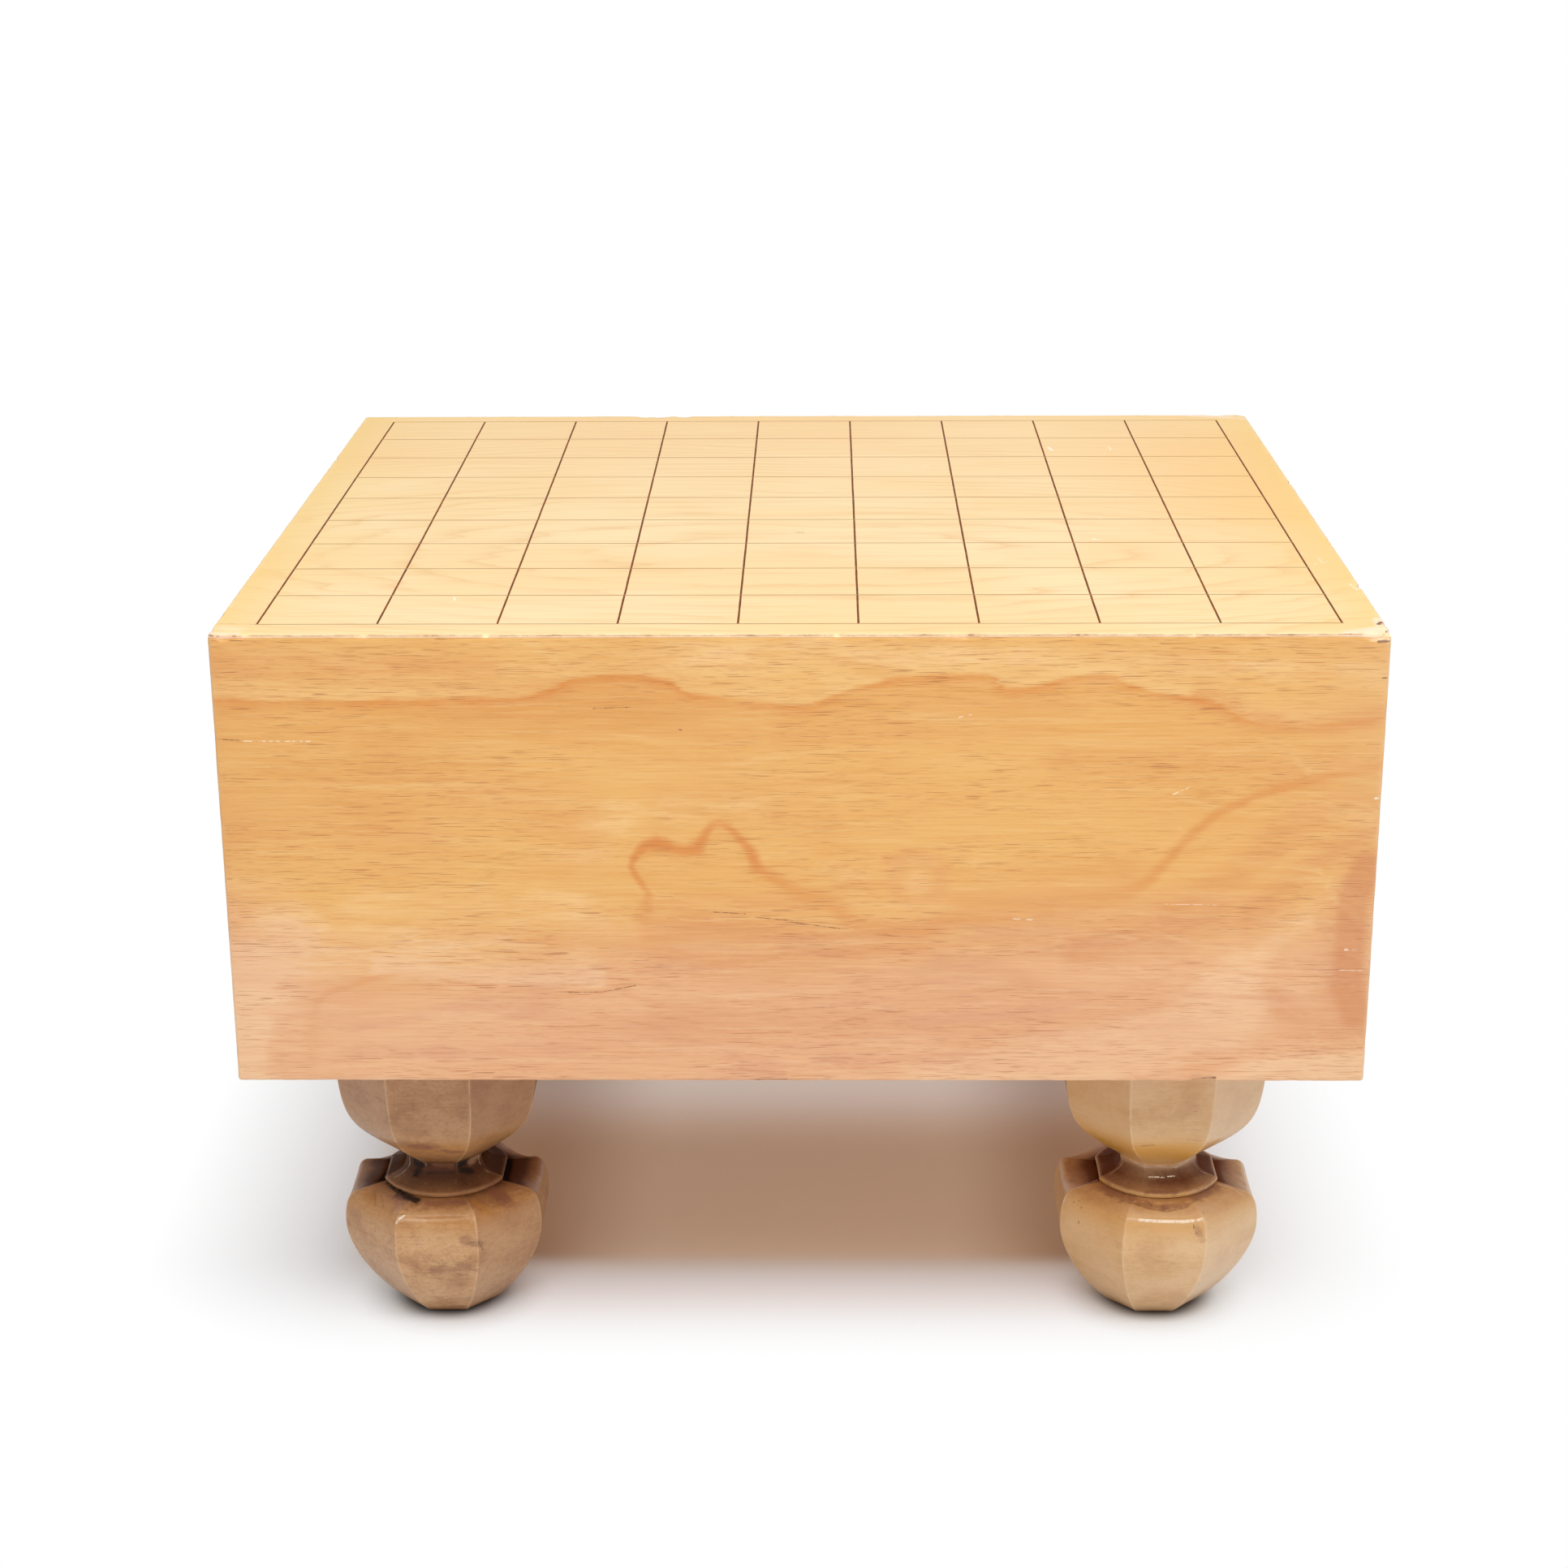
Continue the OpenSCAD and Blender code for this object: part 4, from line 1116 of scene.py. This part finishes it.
# Marks of the soiled left leg and the clean right one, at their places on the carved surface as the photo
# shows them. Spots are (start, end, width, tone) and ragged, marks are (tone, strength, width, path).
SOILED_SPOTS = [
    # painted shadow with dirt, under the rim at the left
    ((-138.5, -126.9, 46.6), (-131.5, -131.3, 46.9), 3.0, "black"),
    ((-133.2, -117.8, 55.8), (-131.2, -120.0, 54.9), 3.4, "black"),
    ((-131.9, -120.0, 53.2), (-133.0, -120.7, 51.8), 3.0, "black"),
    ((-117.7, -120.4, 55.7), (-115.4, -118.6, 55.6), 2.6, "black"),
    ((-117.0, -120.6, 53.4), (-114.0, -119.2, 52.6), 2.6, "black"),
    ((-114.2, -117.8, 54.8), (-112.1, -115.0, 56.1), 2.8, "wood"),
    ((-126.0, -120.9, 56.0), (-120.5, -121.0, 55.6), 2.6, "brown"),
    ((-129.5, -132.2, 46.7), (-115.0, -132.4, 46.9), 2.8, "grime"),
    ((-108.0, -121.0, 47.3), (-100.0, -128.0, 46.2), 6.0, "grime"),
    ((-134.0, -137.0, 71.0), (-124.0, -136.2, 69.6), 6.5, "brown"),
    ((-131.0, -136.4, 70.2), (-126.0, -135.6, 69.0), 3.4, "grime"),
    ((-121.0, -134.0, 67.2), (-114.5, -133.0, 66.0), 3.4, "grime"),
    # painted shadow on the left shoulder below the rim
    ((-138.0, -128.0, 46.2), (-138.8, -133.5, 45.1), 4.4, "grime"),
    ((-114.5, -142, 37.6), (-109.4, -141.6, 36.0), 3.6, "brown"),
    ((-124, -140.5, 25), (-114, -140.5, 26), 6.0, "brown"),
    ((-150, -123, 44.5), (-140, -133, 45), 6.0, "yellow"),
    ((-126, -140, 44), (-114, -140, 44), 3.0, "yellow"),
    ((-111.5, -131.7, 46.5), (-107.5, -135.4, 45.2), 4.0, "yellow"),
]
# arc and shine marks are painted highlights
SOILED_MARKS = [
    ("arc", 0.85, 0.45, [(-135.8, -114.8, 55.6), (-135.5, -116.1, 53.6), (-137.5, -116.8, 51.1),
        (-140.7, -118.7, 49.5)]),
    ("arc", 0.85, 0.45, [(-111.7, -114.4, 56.2), (-111.4, -114.8, 53.5), (-108.9, -115.8, 50.7),
        (-103.8, -116.4, 49.3)]),
    ("arc", 0.60, 0.40, [(-143.3, -118.3, 49.0), (-143.8, -101, 49.0)]),
    ("arc", 0.60, 0.40, [(-103.4, -116.0, 49.0), (-103.2, -101, 49.0)]),
    ("arc", 0.45, 0.35, [(-129.0, -121.0, 55.8), (-129.2, -123.0, 52.0), (-129.2, -124.9, 50.4)]),
    ("arc", 0.45, 0.35, [(-118.3, -120.8, 55.8), (-118.6, -122.6, 52.0), (-118.6, -124.2, 50.7)]),
    # painted shadow with dirt: the black wedge right under the rim
    ("black", 0.95, 1.3, [(-143.2, -118.6, 47.6), (-139.5, -123.6, 47.4), (-137.0, -125.9, 47.2)]),
    ("black", 0.95, 1.9, [(-138.0, -125.2, 47.2), (-134.6, -128.5, 47.1), (-131.5, -130.9, 47.0)]),
    ("shine", 0.80, 0.60, [(-137.2, -140.4, 43.2), (-136.5, -139.9, 44.5), (-134.7, -138.9, 45.3)]),
    ("shine", 0.12, 0.60, [(-134.7, -138.9, 45.3), (-123.2, -138.4, 45.2), (-113.0, -139.1, 45.4)]),
    ("crumb", 0.55, 1.6, [(-128.6, -121.6, 54.2), (-119.2, -121.6, 54.2)]),
    ("black", 0.45, 0.9, [(-128.8, -122.0, 53.0), (-119.0, -122.0, 53.2)]),
    ("crumb", 0.30, 1.4, [(-132.0, -136.6, 70.4), (-128.0, -136.9, 70.8), (-125.3, -135.6, 69.0)]),
    ("crumb", 0.30, 1.0, [(-121.2, -134.0, 67.2), (-115.6, -133.0, 66.0)]),
    ("brown", 0.55, 0.50, [(-150.5, -120.5, 45.4), (-149.6, -125.5, 42.8)]),
    ("brown", 0.50, 0.50, [(-147.4, -122.0, 46.0), (-146.0, -128.6, 43.9)]),
    ("brown", 0.50, 0.60, [(-144.6, -124.2, 46.0), (-143.0, -131.2, 44.4)]),
    ("brown", 0.45, 0.40, [(-152.6, -121.5, 44.0), (-151.6, -126.6, 40.0)]),
    ("crumb", 0.35, 0.60, [(-112.6, -141.9, 36.6), (-109.4, -141.5, 36.9)]),
    ("crumb", 0.50, 0.50, [(-109.6, -141.5, 36.6), (-108.2, -140.3, 33.2)]),
    ("crumb", 0.45, 0.28, [(-122.0, -137.6, 90.0), (-112.8, -137.4, 90.6)]),
]
# arc, shine and lilac marks are painted highlights and reflections; crumb marks are dark specks
CLEAN_MARKS = [
    ("arc", 0.90, 0.45, [(111.4, -114.2, 56.0), (110.5, -114.8, 52.6), (108.6, -115.1, 50.9),
        (106.3, -116.0, 49.8)]),
    ("arc", 0.90, 0.45, [(135.0, -115.4, 56.1), (136.3, -115.0, 52.8), (138.8, -115.6, 50.6),
        (142.5, -115.9, 49.4)]),
    ("lilac", 0.70, 0.40, [(103.1, -115.4, 49.0), (103.1, -101, 49.0)]),
    ("lilac", 0.60, 0.40, [(143.3, -116.4, 49.0), (143.6, -101, 49.0)]),
    ("shine", 1.00, 0.34, [(119.5, -122.6, 52.1), (122.8, -122.9, 52.2)]),
    ("shine", 1.00, 0.30, [(123.5, -123.0, 52.1), (124.5, -123.0, 52.1)]),
    ("shine", 1.00, 0.34, [(125.9, -122.6, 52.3), (128.2, -122.2, 52.3)]),
    ("lilac", 0.50, 0.45, [(113.0, -116.8, 55.9), (118.0, -120.8, 55.1), (123.4, -121.4, 55.5),
        (129.1, -120.9, 55.1), (134.0, -117.0, 55.9)]),
    ("crumb", 0.40, 0.80, [(112.0, -131.5, 47.0), (118.1, -135.0, 46.4), (124.3, -136.3, 45.9),
        (130.6, -134.4, 46.3), (135.5, -129.0, 46.8)]),
    ("crumb", 0.45, 0.70, [(114.5, -129.4, 47.0), (118.5, -131.4, 46.9), (119.4, -133.4, 46.6)]),
    ("crumb", 0.35, 0.45, [(129.5, -131.4, 46.8), (132.6, -129.4, 46.9)]),
    ("crumb", 0.35, 0.80, [(115.0, -137.0, 70.6), (118.7, -137.1, 71.1)]),
    ("crumb", 0.40, 0.30, [(129.5, -138.6, 74.2), (134.5, -138.2, 73.2)]),
    ("shine", 0.75, 0.75, [(114.7, -139.9, 44.6), (120.4, -140.1, 44.2), (129.5, -140.1, 44.0),
        (132.8, -139.9, 44.3)]),
    ("shine", 0.95, 0.55, [(134.6, -139.7, 44.6), (135.8, -139.4, 44.9)]),
    ("crumb", 0.85, 0.34, [(93.8, -124.3, 43.4), (93.9, -124.4, 43.4)]),
    ("crumb", 0.85, 0.30, [(95.4, -125.1, 44.2), (95.5, -125.2, 44.2)]),
    ("crumb", 0.85, 0.34, [(96.8, -125.3, 45.0), (96.9, -125.4, 45.0)]),
    ("crumb", 0.80, 0.34, [(96.1, -127.0, 42.6), (96.2, -127.1, 42.6)]),
    ("crumb", 0.70, 0.40, [(95.3, -127.7, 37.7), (95.4, -127.9, 37.2)]),
    ("crumb", 0.80, 0.30, [(133.0, -140.6, 43.2), (133.0, -141.1, 42.2)]),
    ("crumb", 0.60, 0.35, [(133.9, -141.4, 40.9), (134.0, -141.5, 40.4)]),
    ("lilac", 0.60, 0.60, [(144.2, -118.0, 47.1), (148.1, -119.1, 46.4), (152.2, -122.3, 45.0)]),
    ("lilac", 0.50, 0.60, [(90.6, -122.0, 42.5), (93.7, -120.5, 46.4), (102.5, -115.5, 47.3)]),
]
CLEAN_SPOTS = [
    ((104.0, -121.5, 47.2), (112.5, -130.0, 46.9), 5.0, "grime"),
    ((115.5, -132.5, 46.9), (123, -134.4, 46.6), 3.6, "grime"),
    ((124, -134.2, 46.5), (131, -132.4, 46.7), 3.6, "grime"),
    ((135, -128.5, 46.9), (142, -120.0, 47.1), 4.6, "grime"),
    ((118, -128.5, 49.3), (128, -128.5, 49.3), 2.2, "grime"),
    ((134, -141.4, 42), (136, -140.5, 38), 3.0, "brown"),
]


# Build

make_block(block_wood())
make_sheet(sheet_wood())
lacquer_material = lacquer()
line_end = (CELLS * CELL_W + SOLID_LINE_W) / 2
across = [((-line_end, (j - CELLS / 2) * CELL_D), (line_end, (j - CELLS / 2) * CELL_D))
          for j in range(CELLS + 1)]
along = [(((i - CELLS / 2) * CELL_W, (j - CELLS / 2) * CELL_D + ALONG_GAP),
          ((i - CELLS / 2) * CELL_W, (j + 1 - CELLS / 2) * CELL_D - ALONG_GAP))
         for i in range(CELLS + 1) for j in range(CELLS)]
make_lines("lacquer_across", "lines_across", lacquer_material, across, ACROSS_W, ACROSS_H)
make_lines("lacquer_along", "lines_along", lacquer_material, along, ALONG_W, ALONG_H)

light_leg = leg_wood("leg_wood_light", LIGHT_TONE, 0.15, 2, CLEAN_SPOTS, CLEAN_MARKS)
dark_leg = leg_wood("leg_wood_dark", DARK_TONE, 0.75, 5, SOILED_SPOTS, SOILED_MARKS)
# For each leg: its side in x and y, material, soiling and painted shade, seed, how far its top and its foot
# lean aside, how deep its shoulder dips, and how yellow its cup is and how bright the painted highlight on
# its rim.
LEGS = {
    "front_right": (1, -1, light_leg, CLEAN_DIRT_AND_SHADE, 1.0, 0.7, -0.6, 1.5, 1.0),
    "front_left": (-1, -1, dark_leg, SOILED_DIRT_AND_SHADE, 2.0, -0.9, 0.1, 1.9, 0.45),
    "back_right": (1, 1, light_leg, CLEAN_DIRT_AND_SHADE, 3.0, 0.3, 0.0, 1.5, 1.0),
    "back_left": (-1, 1, dark_leg, SOILED_DIRT_AND_SHADE, 4.0, -0.2, 0.2, 1.5, 0.45),
}
for spot, settings in LEGS.items():
    make_leg(spot, *settings)

# Stage, light and camera

# In metres and degrees, the lens and its sensor in millimetres. The camera is fitted to the photo's grid and
# the block's edges.
FLOOR_HALF = 9.0
LAMP_SIZE, LAMP_POWER, LAMP_AT, LAMP_AIM = (2.0, 1.3), 31.0, (0.30, -0.95, 1.93), (0, -0.05, 0.2)
SKY_LIGHT, SKY_SEEN = 0.57, 1.0
LENS, SENSOR_W, SIGHT = 67.195, 36.0, 100.0
CAMERA_AT, CAMERA_TURN = (0.00787, -1.03193, 0.50316), (71.2577, 0.2781, 0.7241)
WHITE = (1, 1, 1, 1)


def stage_floor():
    """White paper on the floor, with the soft shadow under the board; painted shade, warm painted light and
    contact shadows lie in its colour and in its glow, which only the camera sees.
    """
    mesh = bpy.data.meshes.new("floor")
    mesh.from_pydata([(*corner, 0) for corner in square(FLOOR_HALF)], [], [(0, 1, 2, 3)])
    floor = bpy.data.objects.new("floor", mesh)
    bpy.context.scene.collection.objects.link(floor)
    s = Shader("floor_paper")
    # the paper is white around the object, where the camera sees it, and keeps the shadow under it; the glow
    # fades in across the shadow's outer part and lightens it with painted light
    glow = s.node("ShaderNodeEmission")
    wide, deep = abs(s.x), abs(s.y)
    sides = s.most(wide + s.spread(s.x, 100, 160, 0, 18) - 143, 0)
    ends = s.most(deep - 78, 0) * 1.25
    away = s.spread(s.vector("LENGTH", s.join(sides, ends, 0)), 0, 95, smooth=False)
    foot = s.vector("LENGTH", s.join(wide - LEG_X, deep - LEG_Y, 0))
    open_floor = s.spread(away, 0, 0.3)
    beside_leg = s.spread(wide, 50, 105) * s.spread(away, 0.25, 0.0)
    # painted light: a warm glow under the block, whiter towards its back and out in the open
    warm = s.mix(s.spread(s.y, 0, 64), (1.0, 0.64, 0.48, 1), (1.0, 0.87, 0.82, 1))
    brink = s.mix(s.spread(wide, 110, 160), (1.0, 0.89, 0.86, 1), WHITE)
    glow_colour = s.mix(s.spread(away, 0, 0.12), warm, s.mix(s.spread(away, 0.3, 0.8), brink, WHITE))
    s.link(glow_colour, glow.inputs["Color"])
    under = s.spread(s.y, 0, 75, 0.105, 0.36) * s.spread(wide, 200, 100)
    under = under * (1 - beside_leg * 0.45)
    away = s.most(away, under) * s.spread(foot, FOOT_R, FOOT_R + 22, 0.0, 1.0)
    # painted shade and warm bounce light in the paper's colour: warm near the board and brown beside the
    # inner sides of the legs
    shade = s.mix(beside_leg, (0.93, 0.842, 0.684, 1), (0.60, 0.42, 0.27, 1))
    paper = s.mix(open_floor, shade, (0.89, 0.93, 0.965, 1))
    # painted contact shadow: the paper turns nearly black right around each foot
    s.base = s.mix(s.spread(foot, FOOT_R - 3, FOOT_R + 9), (0.16, 0.12, 0.10, 1), paper)
    seen = away * s.node("ShaderNodeLightPath").outputs["Is Camera Ray"]
    pick = s.node("ShaderNodeMixShader")
    s.link(seen, pick.inputs[0])
    s.link(s.surface.outputs[0], pick.inputs[1])
    s.link(glow.outputs[0], pick.inputs[2])
    s.link(pick.outputs[0], s.output.inputs["Surface"])
    mesh.materials.append(s.finish(0.9, specular=0.1))


def add_light(name, size, power, place, target):
    """Rectangular lamp at place that shines on the target."""
    data = bpy.data.lights.new(name, "AREA")
    data.shape = "RECTANGLE"
    data.size, data.size_y = size
    data.energy = power
    made = bpy.data.objects.new(name, data)
    made.location = place
    made.rotation_mode = "QUATERNION"
    made.rotation_quaternion = (Vector(target) - Vector(place)).to_track_quat("-Z", "Y")
    bpy.context.scene.collection.objects.link(made)


def add_world():
    """White to the camera, softer light for the object."""
    world = bpy.data.worlds.new("studio")
    bpy.context.scene.world = world
    world.use_nodes = True
    tree = world.node_tree
    tree.nodes.clear()
    rays = tree.nodes.new("ShaderNodeLightPath")
    pick = tree.nodes.new("ShaderNodeMixShader")
    sky = tree.nodes.new("ShaderNodeOutputWorld")
    tree.links.new(rays.outputs["Is Camera Ray"], pick.inputs[0])
    for socket, strength in ((pick.inputs[1], SKY_LIGHT), (pick.inputs[2], SKY_SEEN)):
        background = tree.nodes.new("ShaderNodeBackground")
        background.inputs["Color"].default_value = WHITE
        background.inputs["Strength"].default_value = strength
        tree.links.new(background.outputs[0], socket)
    tree.links.new(pick.outputs[0], sky.inputs["Surface"])


def add_camera():
    """The photo's camera."""
    data = bpy.data.cameras.new("camera")
    data.lens, data.sensor_width, data.clip_end = LENS, SENSOR_W, SIGHT
    camera = bpy.data.objects.new("camera", data)
    camera.location = CAMERA_AT
    camera.rotation_euler = tuple(math.radians(a) for a in CAMERA_TURN)
    bpy.context.scene.collection.objects.link(camera)
    bpy.context.scene.camera = camera


stage_floor()
add_light("key", LAMP_SIZE, LAMP_POWER, LAMP_AT, LAMP_AIM)
add_world()
add_camera()
bpy.context.scene.view_settings.view_transform = "Standard"
